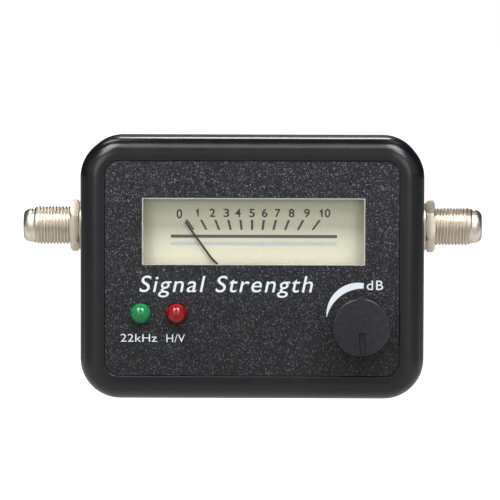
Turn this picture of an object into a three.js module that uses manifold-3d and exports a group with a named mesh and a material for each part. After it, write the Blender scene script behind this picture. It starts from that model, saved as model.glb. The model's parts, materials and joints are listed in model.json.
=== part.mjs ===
// Handheld satellite signal meter: a moulded two-part case with a recessed front label, a moving
// coil panel meter behind a clear window, two signal lamps, a sensitivity knob on a potentiometer,
// and a screw-on coaxial connector on each side.
//
// Millimetres. Inside the instrument group x runs right, y up and z towards the viewer, with y = 0
// on the surface that the meter stands on. The group is turned at the end, so that +Z is up and the
// front faces -Y.

import * as THREE from 'three';
import * as BufferGeometryUtils from 'three/addons/utils/BufferGeometryUtils.js';
import Module from 'manifold-3d';

const wasm = await Module();
wasm.setup();

// Clearances and overruns
const overrun = 1.0;
const seat = 0.1;
const weldDistance = 0.0001;

// Case
const caseWidth = 82.7;
const caseHeight = 63.0;
const caseCornerRadius = 9.7;
const frontCoverDepth = 16.5;
const backCoverDepth = 10.5;
const seamBehindOrigin = 3.0;
const wall = 2.0;
const frontRound = 5.0;
const backRound = 3.5;
const seamChamfer = 0.25;
const lipThickness = 0.9;
const lipHeight = 1.2;
const lipClearance = 0.15;

// Labels, sunk into a recess on the front and on the back
const labelSideMargin = 6.0;
const labelEndMargin = 5.65;
const labelRadius = 3.3;
const labelThickness = 0.3;
const labelSink = 0.3;
const labelClearance = 0.1;
const rearLabelSideMargin = 18.35;
const rearLabelEndMargin = 16.5;
const rearLabelRadius = 2.0;

// Window of the panel meter
const windowSideMargin = 14.6;
const windowHeight = 16.1;
const windowRadius = 0.8;
const windowX = 0.35;
const windowRiseShare = 0.4253;

// Cover screws and their posts
const screwPostInset = 7.9;
const frontPostRadius = 3.4;
const backPostRadius = 4.2;
const coverScrewRadius = 1.45;
const coverScrewHeadRadius = 2.7;
const coverScrewHeadHeight = 1.8;
const coverScrewGrip = 7.0;
const screwSeatThickness = 3.5;
const screwHoleClearance = 0.15;

// Circuit board, held by two screws on standoffs
const boardThickness = 1.6;
const boardEdgeGap = 0.5;
const standoffRadius = 2.6;
const standoffInset = 5.35;
const standoffConnectorGap = 0.4;
const boardScrewRadius = 1.2;
const boardScrewHeadRadius = 2.4;
const boardScrewHeadHeight = 1.5;
const boardScrewGrip = 5.8;
const pinStickOut = 0.8;
const contactBoardGap = 0.3;
const meterBoardGap = 0.3;

// Threaded coaxial connectors
const connectorAboveWindow = 0.5;
const connectorReach = 14.3;
const threadCrestRadius = 4.67;
const threadRootRadius = 4.19;
const threadPitch = 0.794;
const noseRadius = 4.05;
const noseLength = 2.0;
const noseRound = 0.8;
const connectorBoreRadius = 2.5;
const connectorFlangeRadius = 6.0;
const connectorFlangeThickness = 1.5;
const connectorNeckRadius = 3.6;
const connectorNeckLength = 3.5;
const insulatorSink = 0.4;
const contactRadius = 0.5;
const contactSink = 2.0;
const contactBoardOverlap = 1.8;
const contactHoleClearance = 0.1;
const connectorWasherRadius = 6.0;
const connectorWasherThickness = 0.5;
const connectorNutFlats = 11.0;
const connectorNutThickness = 2.2;
const nutChamfer = 0.45;
const nutClearance = 0.1;

// Signal lamps
const lampAboveKnob = 2.65;
const greenLampShare = 0.6311;
const redLampShare = 0.2644;
const lampRadius = 2.5;
const lampBodyLength = 5.1;
const lampStickOut = 0.5;
const lampFlangeRadius = 2.9;
const lampFlangeThickness = 1.0;
const panelHoleClearance = 0.15;
const lampSleeveWall = 1.3;
const lampLeadSpacing = 2.54;
const lampLeadWidth = 0.5;
const leadHoleRadius = 0.5;

// Potentiometer
const potShare = 0.6022;
const potPostGap = 1.55;
const potBodySize = 11.0;
const potBodyDepth = 6.5;
const potBodyWall = 1.2;
const potCavityRadius = 4.4;
const potShaftRadius = 2.95;
const shaftFrontGap = 0.5;
const shaftEndGap = 0.3;
const potFlatDepth = 1.2;
const potFlatLength = 5.0;
const bushingRadius = 3.5;
const bushingReach = 2.4;
const bushingBoreClearance = 0.15;
const potNutSkirtGap = 0.24;
const potNutThickness = 1.6;
const potWasherSkirtGap = 0.5;
const potWasherThickness = 0.4;
const wiperRadius = 3.9;
const wiperThickness = 1.2;
const trackThickness = 1.0;
const potPinSpacing = 2.5;
const potPinRadius = 0.45;
const pinHoleClearance = 0.25;
const potPinDrop = 4.0;

// Knob
const knobRadius = 6.85;
const knobBaseRadius = 6.95;
const knobHeight = 9.0;
const knobGap = 0.5;
const knobEdgeRound = 0.4;
const knobSkirtDepth = 2.4;
const knobSkirtWall = 0.95;
const knobTopWall = 1.8;
const knobMarkWidth = 1.6;
const knobMarkDepth = 0.3;
const knobMarkStart = 1.0;
const knobMarkEnd = 6.2;
const knobRibWidth = 2.2;
const knobRibRise = 0.35;
const knobRibShortfall = 0.8;

// Panel meter housing
const meterMargin = 2.1;
const meterWall = 1.2;
const meterUpperDepth = 7.0;
const lensThickness = 0.8;
const lensPlugSink = 0.3;
const lensPlugSideMargin = 2.1;
const lensPlugEndMargin = 0.9;
const lensPlugRadius = 3.6;
const lensPlugLift = 0.3;
const yokeSideGap = 0.4;
const scaleThickness = 0.4;
const scaleDepth = 4.9;
const scaleClearance = 0.2;
const scalePostRadius = 1.3;
const scalePostInset = 6.85;
const meterPinWidth = 0.8;
const meterPinX = 5.0;
const meterPinHoleRadius = 0.7;
const meterPinYokeGap = 0.5;
const locatingRibLength = 4.0;
const locatingRibThickness = 1.2;
const locatingRibDepth = 3.0;
const locatingRibInset = 8.85;

// Moving coil movement
const pivotX = 0.1;
const pivotBelowDial = 9.7;
const needleTipGap = 0.6;
const needleZeroDegrees = 36.0;
const needleRootWidth = 0.6;
const needleTipWidth = 0.36;
const needleThickness = 0.25;
const needleAboveScale = 0.45;
const needleKinkRadius = 14.6;
const needleKinkOffset = 0.5;
const needleKinkLength = 1.6;
const needleHubRadius = 1.1;
const needleTailLength = 5.0;
const needleTailWidth = 1.3;
const magnetRadius = 4.4;
const movementFloorGap = 0.15;
const airGap = 1.8;
const coilClearance = 0.4;
const coilBehindScale = 0.9;
const coilWidth = 1.2;
const yokeHalfWidth = 10.4;
const yokeHalfHeight = 9.3;
const yokeOverhang = 0.4;
const yokeFootRadius = 1.0;
const yokeFootInset = 1.3;
const spacerHalfDegrees = 14.0;
const spacerSetback = 0.6;
const staffRadius = 0.35;
const staffBackLength = 0.85;
const jewelRadius = 0.9;
const jewelThickness = 0.6;
const jewelHoleRadius = 0.55;
const jewelHoleDepth = 0.4;
const bridgeThickness = 0.45;
const bridgeHalfWidth = 1.6;
const bridgePillarRadius = 0.9;
const springWidth = 0.3;
const springRibbon = 0.15;
const springInnerRadius = 0.8;
const springPitch = 0.65;
const springTurns = 3;

// Parts on the back of the board
const canSideMargin = 17.35;
const canHeight = 15.0;
const canCoverGap = 1.8;
const canWall = 0.4;
const chipX = 15.0;
const chipCanGap = 6.25;
const chipLength = 9.6;
const chipWidth = 6.3;
const chipThickness = 3.2;
const chipLegLength = 1.1;
const chipLegWidth = 0.5;
const chipLegThickness = 0.3;
const chipLegPitch = 2.54;
const capacitorRadius = 2.5;
const capacitorCoverGap = 0.6;
const capacitorChipGap = 3.75;
const capacitorLeftX = -13.5;
const capacitorRightX = 13.5;
const buzzerX = -1.0;
const buzzerCanGap = 3.1;
const buzzerRadius = 5.9;
const buzzerCoverGap = 0.8;
const buzzerHoleRadius = 1.2;
const buzzerHoleDepth = 1.5;

// Steps of the round shapes
const fineSides = 40;
const mediumSides = 24;
const coarseSides = 16;
const tinySides = 8;
const cornerSteps = 5;
const roundSteps = 4;
const threadSides = 20;

// Planes and centres that follow from the sizes
const seamZ = -seamBehindOrigin;
const frontZ = seamZ + frontCoverDepth;
const backZ = seamZ - backCoverDepth;
const faceZ = frontZ - labelSink;
const recessFloorZ = faceZ - labelThickness;
const innerFrontZ = recessFloorZ - wall;
const innerBackZ = backZ + wall;
const caseMiddle = caseHeight / 2;
const innerHalfWidth = caseWidth / 2 - wall;
const postX = caseWidth / 2 - screwPostInset;
const postHeights = [screwPostInset, caseHeight - screwPostInset];
const labelWidth = caseWidth - 2 * labelSideMargin;
const labelHeight = caseHeight - 2 * labelEndMargin;
const rearLabelWidth = caseWidth - 2 * rearLabelSideMargin;
const rearLabelHeight = caseHeight - 2 * rearLabelEndMargin;
const potHeight = screwPostInset + frontPostRadius + potPostGap + potBodySize / 2;
const potTop = potHeight + potBodySize / 2;
const lampHeight = potHeight + lampAboveKnob;
const windowWidth = caseWidth - 2 * windowSideMargin;
const windowMiddle = potTop + windowRiseShare * (caseHeight - potTop);
const connectorHeight = windowMiddle + connectorAboveWindow;
const boardFrontZ = seamZ - contactRadius - contactBoardGap;
const boardBackZ = boardFrontZ - boardThickness;
const boardHalfWidth = innerHalfWidth - boardEdgeGap;
const boardBottom = wall + boardEdgeGap;
const boardTop = caseHeight - boardBottom;
const standoffX = innerHalfWidth - standoffInset;
const standoffTop = connectorHeight - connectorFlangeRadius - standoffConnectorGap;
const boardScrewPlaces = [
  [standoffX, standoffTop - standoffRadius],
  [-standoffX, standoffTop - standoffRadius],
];
const pinEndZ = boardBackZ - pinStickOut;
const scaleFrontZ = faceZ - scaleDepth;
const lensBackZ = innerFrontZ - seat - lensThickness;
const meterFrontZ = lensBackZ - seat;
const meterUpperBackZ = meterFrontZ - meterUpperDepth;
const meterLowerBackZ = boardFrontZ + meterBoardGap;
const meterUpperBottom = windowMiddle - windowHeight / 2 - meterMargin;
const meterUpperTop = windowMiddle + windowHeight / 2 + meterMargin;
const meterHalfWidth = windowWidth / 2 + meterMargin;
const movementHalfWidth = yokeHalfWidth + yokeSideGap + meterWall;
const movementLeft = pivotX - movementHalfWidth;
const movementRight = pivotX + movementHalfWidth;
const greenLampX = movementLeft - greenLampShare * (labelWidth / 2 + movementLeft);
const redLampX = movementLeft - redLampShare * (labelWidth / 2 + movementLeft);
const potX = movementRight + potShare * (labelWidth / 2 - movementRight);
const pivotHeight = meterUpperBottom - pivotBelowDial;
const needleLength = windowMiddle + windowHeight / 2 - needleTipGap - pivotHeight;
const movementTop = pivotHeight + yokeHalfHeight + seat + meterWall;
const movementBottom = pivotHeight - yokeHalfHeight - seat - meterWall;
const needleBackZ = scaleFrontZ + needleAboveScale;
const needleFrontZ = needleBackZ + needleThickness;
const meterPinHeight = movementBottom + meterWall + yokeFootRadius + yokeFootInset;

// Solids and meshes

function toSolid(geometry) {
  const bare = geometry.clone();
  bare.deleteAttribute('normal');
  bare.deleteAttribute('uv');
  const welded = BufferGeometryUtils.mergeVertices(bare, weldDistance);
  const mesh = new wasm.Mesh({
    numProp: 3,
    vertProperties: new Float32Array(welded.attributes.position.array),
    triVerts: new Uint32Array(welded.index.array),
  });
  return new wasm.Manifold(mesh);
}

function toGeometry(solid) {
  const mesh = solid.getMesh();
  const geometry = new THREE.BufferGeometry();
  geometry.setAttribute('position', new THREE.Float32BufferAttribute(mesh.vertProperties, 3));
  geometry.setIndex(Array.from(mesh.triVerts));
  geometry.computeVertexNormals();
  return geometry;
}

function join(...solids) {
  return solids.reduce((sum, solid) => sum.add(solid));
}

function cut(body, ...tools) {
  return tools.reduce((rest, tool) => rest.subtract(tool), body);
}

function piece(name, solid, finish) {
  const material = new THREE.MeshStandardMaterial(finish);
  const mesh = new THREE.Mesh(toGeometry(solid), material);
  mesh.name = name;
  return mesh;
}

function block(x, y, z) {
  const geometry = new THREE.BoxGeometry(x[1] - x[0], y[1] - y[0], z[1] - z[0]);
  geometry.translate((x[0] + x[1]) / 2, (y[0] + y[1]) / 2, (z[0] + z[1]) / 2);
  return toSolid(geometry);
}

// A round bar along z, from the plane back to the plane front.
function rod(x, y, radius, back, front, sides = coarseSides) {
  const geometry = new THREE.CylinderGeometry(radius, radius, front - back, sides);
  geometry.rotateX(Math.PI / 2);
  geometry.translate(x, y, (front + back) / 2);
  return toSolid(geometry);
}

function tube(x, y, outer, inner, back, front, sides = coarseSides) {
  const bore = rod(x, y, inner, back - overrun, front + overrun, sides);
  return cut(rod(x, y, outer, back, front, sides), bore);
}

function roundedRectangle(x, y, width, height, radius) {
  const shape = new THREE.Shape();
  const right = x + width / 2 - radius;
  const left = x - width / 2 + radius;
  const top = y + height / 2 - radius;
  const bottom = y - height / 2 + radius;
  shape.absarc(right, top, radius, 0, Math.PI / 2);
  shape.absarc(left, top, radius, Math.PI / 2, Math.PI);
  shape.absarc(left, bottom, radius, Math.PI, 1.5 * Math.PI);
  shape.absarc(right, bottom, radius, 1.5 * Math.PI, 2 * Math.PI);
  shape.closePath();
  return shape;
}

function plate(shape, back, front) {
  const depth = front - back;
  const geometry = new THREE.ExtrudeGeometry(shape, {
    depth,
    bevelEnabled: false,
    curveSegments: cornerSteps,
  });
  geometry.translate(0, 0, back);
  return toSolid(geometry);
}

function hexagon(flats) {
  const shape = new THREE.Shape();
  const corner = flats / Math.sqrt(3);
  for (let i = 0; i < 6; i += 1) {
    const angle = Math.PI / 6 + (i * Math.PI) / 3;
    const x = corner * Math.cos(angle);
    const y = corner * Math.sin(angle);
    if (i === 0) shape.moveTo(x, y);
    else shape.lineTo(x, y);
  }
  shape.closePath();
  return shape;
}

// A turned shape round the z axis. The profile is a list of [radius, z] from the back to the front,
// starting and ending on the axis.
function turned(profile, sides = mediumSides) {
  const points = profile.map(([radius, z]) => new THREE.Vector2(radius, z));
  const geometry = new THREE.LatheGeometry(points, sides);
  geometry.rotateX(Math.PI / 2);
  return toSolid(geometry);
}

// A closed skin through rings of points, each as long as the next, from the back to the front.
function skin(rings) {
  const count = rings[0].length;
  const positions = rings.flat(2);
  const indices = [];
  for (let level = 0; level + 1 < rings.length; level += 1) {
    for (let i = 0; i < count; i += 1) {
      const next = (i + 1) % count;
      const a = level * count + i;
      const b = level * count + next;
      indices.push(a, b, b + count, a, b + count, a + count);
    }
  }
  const last = (rings.length - 1) * count;
  for (let i = 1; i + 1 < count; i += 1) {
    indices.push(0, i + 1, i, last, last + i, last + i + 1);
  }
  const geometry = new THREE.BufferGeometry();
  geometry.setAttribute('position', new THREE.Float32BufferAttribute(positions, 3));
  geometry.setIndex(indices);
  return toSolid(geometry);
}

// Case shells

// The outline of the case drawn in by an inset, as a ring of points at one depth.
function caseRing(inset, z) {
  const radius = caseCornerRadius - inset;
  const right = caseWidth / 2 - caseCornerRadius;
  const up = caseMiddle - caseCornerRadius;
  const corners = [[right, up], [-right, up], [-right, -up], [right, -up]];
  return corners.flatMap(([x, y], quarter) => {
    const ring = [];
    for (let i = 0; i <= cornerSteps; i += 1) {
      const angle = ((quarter + i / cornerSteps) * Math.PI) / 2;
      ring.push([x + radius * Math.cos(angle), caseMiddle + y + radius * Math.sin(angle), z]);
    }
    return ring;
  });
}

// Rings round an edge, from the side wall to the flat face. The side wall is at an inset of
// wallInset, and the edge takes across and along of the outline and of the depth.
function edgeRings(wallInset, across, startZ, along) {
  const rings = [];
  for (let i = 0; i <= roundSteps; i += 1) {
    const angle = ((i / roundSteps) * Math.PI) / 2;
    const inset = wallInset + across * (1 - Math.cos(angle));
    rings.push(caseRing(inset, startZ + along * Math.sin(angle)));
  }
  return rings;
}

function lipBlock(inset, back, front) {
  return skin([caseRing(inset, back), caseRing(inset, front)]);
}

function connectorHole(hand) {
  const radius = threadCrestRadius + nutClearance;
  const bar = rod(0, 0, radius, innerHalfWidth - overrun, caseWidth / 2 + overrun, mediumSides);
  return bar.rotate([0, hand * 90, 0]).translate([0, connectorHeight, seamZ]);
}

function windowOpening() {
  const shape = roundedRectangle(windowX, windowMiddle, windowWidth, windowHeight, windowRadius);
  return plate(shape, innerFrontZ - overrun, frontZ + overrun);
}

function lampHole(x) {
  const radius = lampRadius + panelHoleClearance;
  return rod(x, lampHeight, radius, innerFrontZ - lampBodyLength, frontZ + overrun, mediumSides);
}

function frontCover() {
  const edgeStart = frontZ - frontRound;
  const outside = skin([
    caseRing(seamChamfer, seamZ),
    caseRing(0, seamZ + seamChamfer),
    ...edgeRings(0, frontRound, edgeStart, frontRound),
  ]);
  const hollow = skin([
    caseRing(wall, seamZ - overrun),
    ...edgeRings(wall, frontRound - wall, edgeStart, innerFrontZ - edgeStart),
  ]);
  const rebate = lipBlock(
    wall - lipThickness - lipClearance,
    seamZ - overrun,
    seamZ + lipHeight + lipClearance,
  );
  const recess = plate(
    roundedRectangle(
      0,
      caseMiddle,
      labelWidth + 2 * labelClearance,
      labelHeight + 2 * labelClearance,
      labelRadius + labelClearance,
    ),
    recessFloorZ,
    frontZ + overrun,
  );
  const rootZ = innerFrontZ + wall / 2;
  const posts = [];
  const pilots = [];
  for (const side of [-1, 1]) {
    for (const y of postHeights) {
      const pilotRadius = coverScrewRadius + screwHoleClearance;
      posts.push(rod(side * postX, y, frontPostRadius, seamZ, rootZ, coarseSides));
      pilots.push(rod(side * postX, y, pilotRadius, seamZ - overrun, innerFrontZ - wall));
    }
  }
  for (const [x, y] of boardScrewPlaces) {
    const pilotRadius = boardScrewRadius + screwHoleClearance;
    posts.push(rod(x, y, standoffRadius, boardFrontZ + seat, rootZ));
    pilots.push(rod(x, y, pilotRadius, boardFrontZ - overrun, innerFrontZ - wall));
  }
  const sleeveRadius = lampRadius + lampSleeveWall;
  const sleeveEnd = faceZ + lampStickOut - lampBodyLength + seat;
  for (const x of [greenLampX, redLampX]) {
    posts.push(rod(x, lampHeight, sleeveRadius, sleeveEnd, rootZ, mediumSides));
  }
  const ribs = [];
  for (const side of [-1, 1]) {
    const x = windowX + side * (meterHalfWidth - locatingRibInset);
    const ribX = [x - locatingRibLength / 2, x + locatingRibLength / 2];
    const ribZ = [innerFrontZ - locatingRibDepth, rootZ];
    const above = meterUpperTop + seat;
    const below = meterUpperBottom - seat;
    ribs.push(block(ribX, [above, above + locatingRibThickness], ribZ));
    ribs.push(block(ribX, [below - locatingRibThickness, below], ribZ));
  }
  const bushingHole = rod(
    potX,
    potHeight,
    bushingRadius + panelHoleClearance,
    innerFrontZ - overrun,
    frontZ + overrun,
    mediumSides,
  );
  return cut(
    join(cut(outside, hollow, rebate, recess), ...posts, ...ribs),
    ...pilots,
    windowOpening(),
    lampHole(greenLampX),
    lampHole(redLampX),
    bushingHole,
    connectorHole(-1),
    connectorHole(1),
  );
}

function backCover() {
  const edgeStart = backZ + backRound;
  const outside = skin([
    ...edgeRings(0, backRound, edgeStart, -backRound).reverse(),
    caseRing(0, seamZ - seat - seamChamfer),
    caseRing(seamChamfer, seamZ - seat),
  ]);
  const hollow = skin([
    ...edgeRings(wall, backRound - wall, edgeStart, innerBackZ - edgeStart).reverse(),
    caseRing(wall, seamZ + lipHeight + overrun),
  ]);
  const lip = lipBlock(wall - lipThickness, seamZ - wall, seamZ + lipHeight);
  const recess = plate(
    roundedRectangle(
      0,
      caseMiddle,
      rearLabelWidth + 2 * labelClearance,
      rearLabelHeight + 2 * labelClearance,
      rearLabelRadius + labelClearance,
    ),
    backZ - overrun,
    backZ + labelThickness,
  );
  const seatZ = seamZ - seat - screwSeatThickness;
  const posts = [];
  const holes = [];
  for (const side of [-1, 1]) {
    for (const y of postHeights) {
      const x = side * postX;
      const holeRadius = coverScrewRadius + 2 * screwHoleClearance;
      const headRadius = coverScrewHeadRadius + 2 * screwHoleClearance;
      posts.push(rod(x, y, backPostRadius, backZ + wall / 2, seamZ - seat, mediumSides));
      holes.push(rod(x, y, holeRadius, backZ - overrun, seamZ + overrun));
      holes.push(rod(x, y, headRadius, backZ - overrun, seatZ, mediumSides));
    }
  }
  return cut(
    join(cut(join(outside, lip), hollow), ...posts),
    ...holes,
    recess,
    connectorHole(-1),
    connectorHole(1),
  );
}

function frontLabel() {
  const sheet = plate(
    roundedRectangle(0, caseMiddle, labelWidth, labelHeight, labelRadius),
    recessFloorZ,
    faceZ,
  );
  const bushingHole = rod(
    potX,
    potHeight,
    bushingRadius + panelHoleClearance,
    recessFloorZ - overrun,
    faceZ + overrun,
    mediumSides,
  );
  return cut(sheet, windowOpening(), lampHole(greenLampX), lampHole(redLampX), bushingHole);
}

function rearLabel() {
  return plate(
    roundedRectangle(0, caseMiddle, rearLabelWidth, rearLabelHeight, rearLabelRadius),
    backZ + labelThickness / 3,
    backZ + labelThickness,
  );
}

// Screws

// A pan head screw along z, with its head at the back. The shank runs forward from seatZ.
function screw(x, y, radius, headRadius, headHeight, seatZ, grip) {
  const edge = headHeight / 3;
  const crown = headHeight / 2;
  const body = turned([
    [0, seatZ - headHeight],
    [headRadius - crown, seatZ - headHeight],
    [headRadius, seatZ - edge],
    [headRadius, seatZ],
    [radius, seatZ],
    [radius, seatZ + grip - radius],
    [0, seatZ + grip],
  ], coarseSides);
  const slot = headHeight / 6;
  const reach = headRadius / 2;
  const bottom = seatZ - headHeight / 3;
  const top = seatZ - headHeight - overrun;
  const cross = join(
    block([-slot, slot], [-reach, reach], [top, bottom]),
    block([-reach, reach], [-slot, slot], [top, bottom]),
  );
  return cut(body, cross).translate([x, y, 0]);
}

function coverScrew(x, y) {
  const seatZ = seamZ - screwSeatThickness - 2 * seat;
  return screw(
    x,
    y,
    coverScrewRadius,
    coverScrewHeadRadius,
    coverScrewHeadHeight,
    seatZ,
    screwSeatThickness + coverScrewGrip,
  );
}

function boardScrew(x, y) {
  return screw(
    x,
    y,
    boardScrewRadius,
    boardScrewHeadRadius,
    boardScrewHeadHeight,
    boardBackZ - seat,
    boardThickness + boardScrewGrip,
  );
}

// Coaxial connectors, modelled along +z from the middle of the case and then turned onto the side

const threadEnd = caseWidth / 2 + connectorReach - noseLength;
const flangeEnd = innerHalfWidth - seat;
const neckEnd = flangeEnd - connectorFlangeThickness - connectorNeckLength;
const connectorTip = caseWidth / 2 + connectorReach;
const connectorWasherStart = caseWidth / 2 + seat;
const connectorNutStart = connectorWasherStart + connectorWasherThickness + seat;

// A screw thread: rows of root and crest points wind round the z axis, half a pitch apart, and are
// held between the two end planes.
function threadedRod(start, end) {
  const rows = Math.ceil((2 * (end - start)) / threadPitch) + 2;
  const ring = (row) => {
    const points = [];
    for (let i = 0; i < threadSides; i += 1) {
      const turn = i / threadSides;
      const free = start + (row / 2 + turn) * threadPitch;
      const z = Math.min(Math.max(free, start), end);
      const inside = free > start && free < end;
      const radius = inside && row % 2 !== 0 ? threadCrestRadius : threadRootRadius;
      points.push([radius * Math.cos(2 * Math.PI * turn), radius * Math.sin(2 * Math.PI * turn), z]);
    }
    return points;
  };
  const rings = [];
  for (let row = -2; row <= rows; row += 1) rings.push(ring(row));
  return windingSkin(rings);
}

// Like skin, but each ring's last point joins the first point of the ring two rows on, so that the
// rows wind. Points that fall together are welded, and triangles without area are left out.
function windingSkin(rings) {
  const count = rings[0].length;
  const last = rings.length - 1;
  const at = (row, i) => {
    const wound = i < count ? row : Math.min(row + 2, last);
    return wound * count + (i % count);
  };
  const indices = [];
  for (let row = 0; row < last; row += 1) {
    for (let i = 0; i < count; i += 1) {
      const a = at(row, i);
      const b = at(row, i + 1);
      const c = at(row + 1, i + 1);
      const d = at(row + 1, i);
      indices.push(a, b, c, a, c, d);
    }
  }
  for (let i = 1; i + 1 < count; i += 1) {
    indices.push(0, i + 1, i, last * count, last * count + i, last * count + i + 1);
  }
  const geometry = new THREE.BufferGeometry();
  const positions = new THREE.Float32BufferAttribute(rings.flat(2), 3);
  geometry.setAttribute('position', positions);
  geometry.setIndex(indices);
  const welded = BufferGeometryUtils.mergeVertices(geometry, weldDistance);
  const kept = [];
  for (let i = 0; i < welded.index.count; i += 3) {
    const corners = [0, 1, 2].map((step) => welded.index.getX(i + step));
    if (new Set(corners).size === 3) kept.push(...corners);
  }
  welded.setIndex(kept);
  return toSolid(welded);
}

function connectorBarrel() {
  const body = turned([
    [0, neckEnd],
    [connectorNeckRadius, neckEnd],
    [connectorNeckRadius, flangeEnd - connectorFlangeThickness],
    [connectorFlangeRadius, flangeEnd - connectorFlangeThickness],
    [connectorFlangeRadius, flangeEnd],
    [threadCrestRadius, flangeEnd],
    [threadCrestRadius, connectorWasherStart],
    [noseRadius, connectorWasherStart],
    [noseRadius, connectorTip - noseRound],
    [noseRadius - noseRound / 3, connectorTip - noseRound / 3],
    [noseRadius - noseRound, connectorTip],
    [0, connectorTip],
  ], mediumSides);
  const bore = turned([
    [0, neckEnd - overrun],
    [connectorBoreRadius, neckEnd - overrun],
    [connectorBoreRadius, connectorTip + overrun],
    [0, connectorTip + overrun],
  ], mediumSides);
  return cut(join(body, threadedRod(connectorWasherStart - seat, threadEnd)), bore);
}

function connectorInsulator() {
  const outer = connectorBoreRadius - seat;
  const front = connectorTip - insulatorSink;
  const sleeve = turned([[0, neckEnd], [outer, neckEnd], [outer, front], [0, front]], coarseSides);
  const hole = rod(0, 0, contactRadius + contactHoleClearance, neckEnd - overrun, front + overrun);
  return cut(sleeve, hole);
}

function connectorContact() {
  const inner = neckEnd - boardEdgeGap - contactBoardOverlap;
  return rod(0, 0, contactRadius, inner, connectorTip - contactSink);
}

function connectorWasher() {
  const start = connectorWasherStart;
  const bore = threadCrestRadius + nutClearance;
  return tube(0, 0, connectorWasherRadius, bore, start, start + connectorWasherThickness, mediumSides);
}

function hexNut(flats, thickness, bore, start, sides) {
  const corner = flats / Math.sqrt(3);
  const inner = corner - nutChamfer;
  const rounded = turned([
    [0, start],
    [inner, start],
    [corner + nutChamfer / 3, start + nutChamfer],
    [corner + nutChamfer / 3, start + thickness - nutChamfer],
    [inner, start + thickness],
    [0, start + thickness],
  ], mediumSides);
  const prism = plate(hexagon(flats), start, start + thickness);
  return cut(prism.intersect(rounded), rod(0, 0, bore, start - overrun, start + thickness + overrun, sides));
}

function connectorNut() {
  return hexNut(
    connectorNutFlats,
    connectorNutThickness,
    threadCrestRadius + nutClearance,
    connectorNutStart,
    mediumSides,
  );
}

function connector(side, hand) {
  const brass = { color: 0xc8beaf, roughness: 0.28, metalness: 1.0 };
  const group = new THREE.Group();
  group.position.set(0, connectorHeight, seamZ);
  group.rotation.y = (hand * Math.PI) / 2;
  group.add(
    piece(`${side}_connector_barrel`, connectorBarrel(), brass),
    piece(`${side}_connector_insulator`, connectorInsulator(), {
      color: 0xe8e6df,
      roughness: 0.5,
      metalness: 0.0,
    }),
    piece(`${side}_connector_contact`, connectorContact(), {
      color: 0xcfa75a,
      roughness: 0.3,
      metalness: 1.0,
    }),
    piece(`${side}_connector_washer`, connectorWasher(), brass),
    piece(`${side}_connector_nut`, connectorNut(), brass),
  );
  return group;
}

// Signal lamps

function lampBody() {
  const domeStart = faceZ + lampStickOut;
  const bodyStart = domeStart - lampBodyLength;
  const profile = [
    [0, bodyStart - lampFlangeThickness],
    [lampFlangeRadius, bodyStart - lampFlangeThickness],
    [lampFlangeRadius, bodyStart],
    [lampRadius, bodyStart],
  ];
  for (let i = 0; i <= roundSteps; i += 1) {
    const angle = ((i / roundSteps) * Math.PI) / 2;
    profile.push([lampRadius * Math.cos(angle), domeStart + lampRadius * Math.sin(angle)]);
  }
  profile[profile.length - 1][0] = 0;
  return turned(profile, mediumSides);
}

function lamp(name, x, color) {
  const group = new THREE.Group();
  group.position.set(x, lampHeight, 0);
  group.add(piece(name, lampBody(), { color, roughness: 0.12, metalness: 0.0 }));
  const top = faceZ + lampStickOut - lampBodyLength - lampFlangeThickness - seat;
  const half = lampLeadWidth / 2;
  for (const [end, side] of [['cathode', -1], ['anode', 1]]) {
    const lead = block(
      [(side * lampLeadSpacing) / 2 - half, (side * lampLeadSpacing) / 2 + half],
      [-half, half],
      [pinEndZ, top],
    );
    group.add(piece(`${name}_${end}`, lead, { color: 0xc4c6c8, roughness: 0.3, metalness: 1.0 }));
  }
  return group;
}

// Potentiometer and knob, round the z axis

const potBodyFrontZ = innerFrontZ - seat;
const potBodyBackZ = potBodyFrontZ - potBodyDepth;
const bushingEndZ = faceZ + bushingReach;
const trackFrontZ = potBodyBackZ - seat;
const shaftBackZ = trackFrontZ + shaftEndGap;
const knobBaseZ = faceZ + knobGap;
const knobBoreEndZ = knobBaseZ + knobHeight - knobTopWall;
const knobSkirtRadius = knobRadius - knobSkirtWall;
const shaftFrontZ = knobBoreEndZ - shaftFrontGap;

function potHousing() {
  const half = potBodySize / 2;
  const body = block([-half, half], [-half, half], [potBodyBackZ, potBodyFrontZ]);
  const bushing = rod(0, 0, bushingRadius, potBodyFrontZ - potBodyWall, bushingEndZ, mediumSides);
  const cavity = rod(
    0,
    0,
    potCavityRadius,
    potBodyBackZ - overrun,
    potBodyFrontZ - potBodyWall,
    mediumSides,
  );
  const boreRadius = potShaftRadius + bushingBoreClearance;
  const bore = rod(0, 0, boreRadius, potBodyBackZ, bushingEndZ + overrun, mediumSides);
  return cut(join(body, bushing), cavity, bore);
}

// The flat on the shaft and in the knob's bore, as the block that is missing from a round bar.
function shaftFlat(depthFromAxis, back, front) {
  const reach = 2 * potShaftRadius;
  return block([-reach, reach], [depthFromAxis, reach], [back, front]);
}

function potShaft() {
  const bar = rod(0, 0, potShaftRadius, shaftBackZ, shaftFrontZ, mediumSides);
  const flat = potShaftRadius - potFlatDepth;
  return cut(bar, shaftFlat(flat, shaftFrontZ - potFlatLength, shaftFrontZ + overrun));
}

function potWiper() {
  const back = shaftBackZ + seat;
  const bore = potShaftRadius + seat;
  return tube(0, 0, wiperRadius, bore, back, back + wiperThickness, mediumSides);
}

function potTrack() {
  const half = potBodySize / 2;
  const back = trackFrontZ - trackThickness;
  const base = block([-half, half], [-half, half], [back, trackFrontZ]);
  const pins = [-1, 0, 1].map((step) => (
    rod(step * potPinSpacing, -potPinDrop, potPinRadius, pinEndZ, trackFrontZ - trackThickness / 2, tinySides)
  ));
  return join(base, ...pins);
}

function potWasher() {
  const start = faceZ + seat;
  const bore = bushingRadius + nutClearance;
  const outer = knobSkirtRadius - potWasherSkirtGap;
  return tube(0, 0, outer, bore, start, start + potWasherThickness, mediumSides);
}

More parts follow.
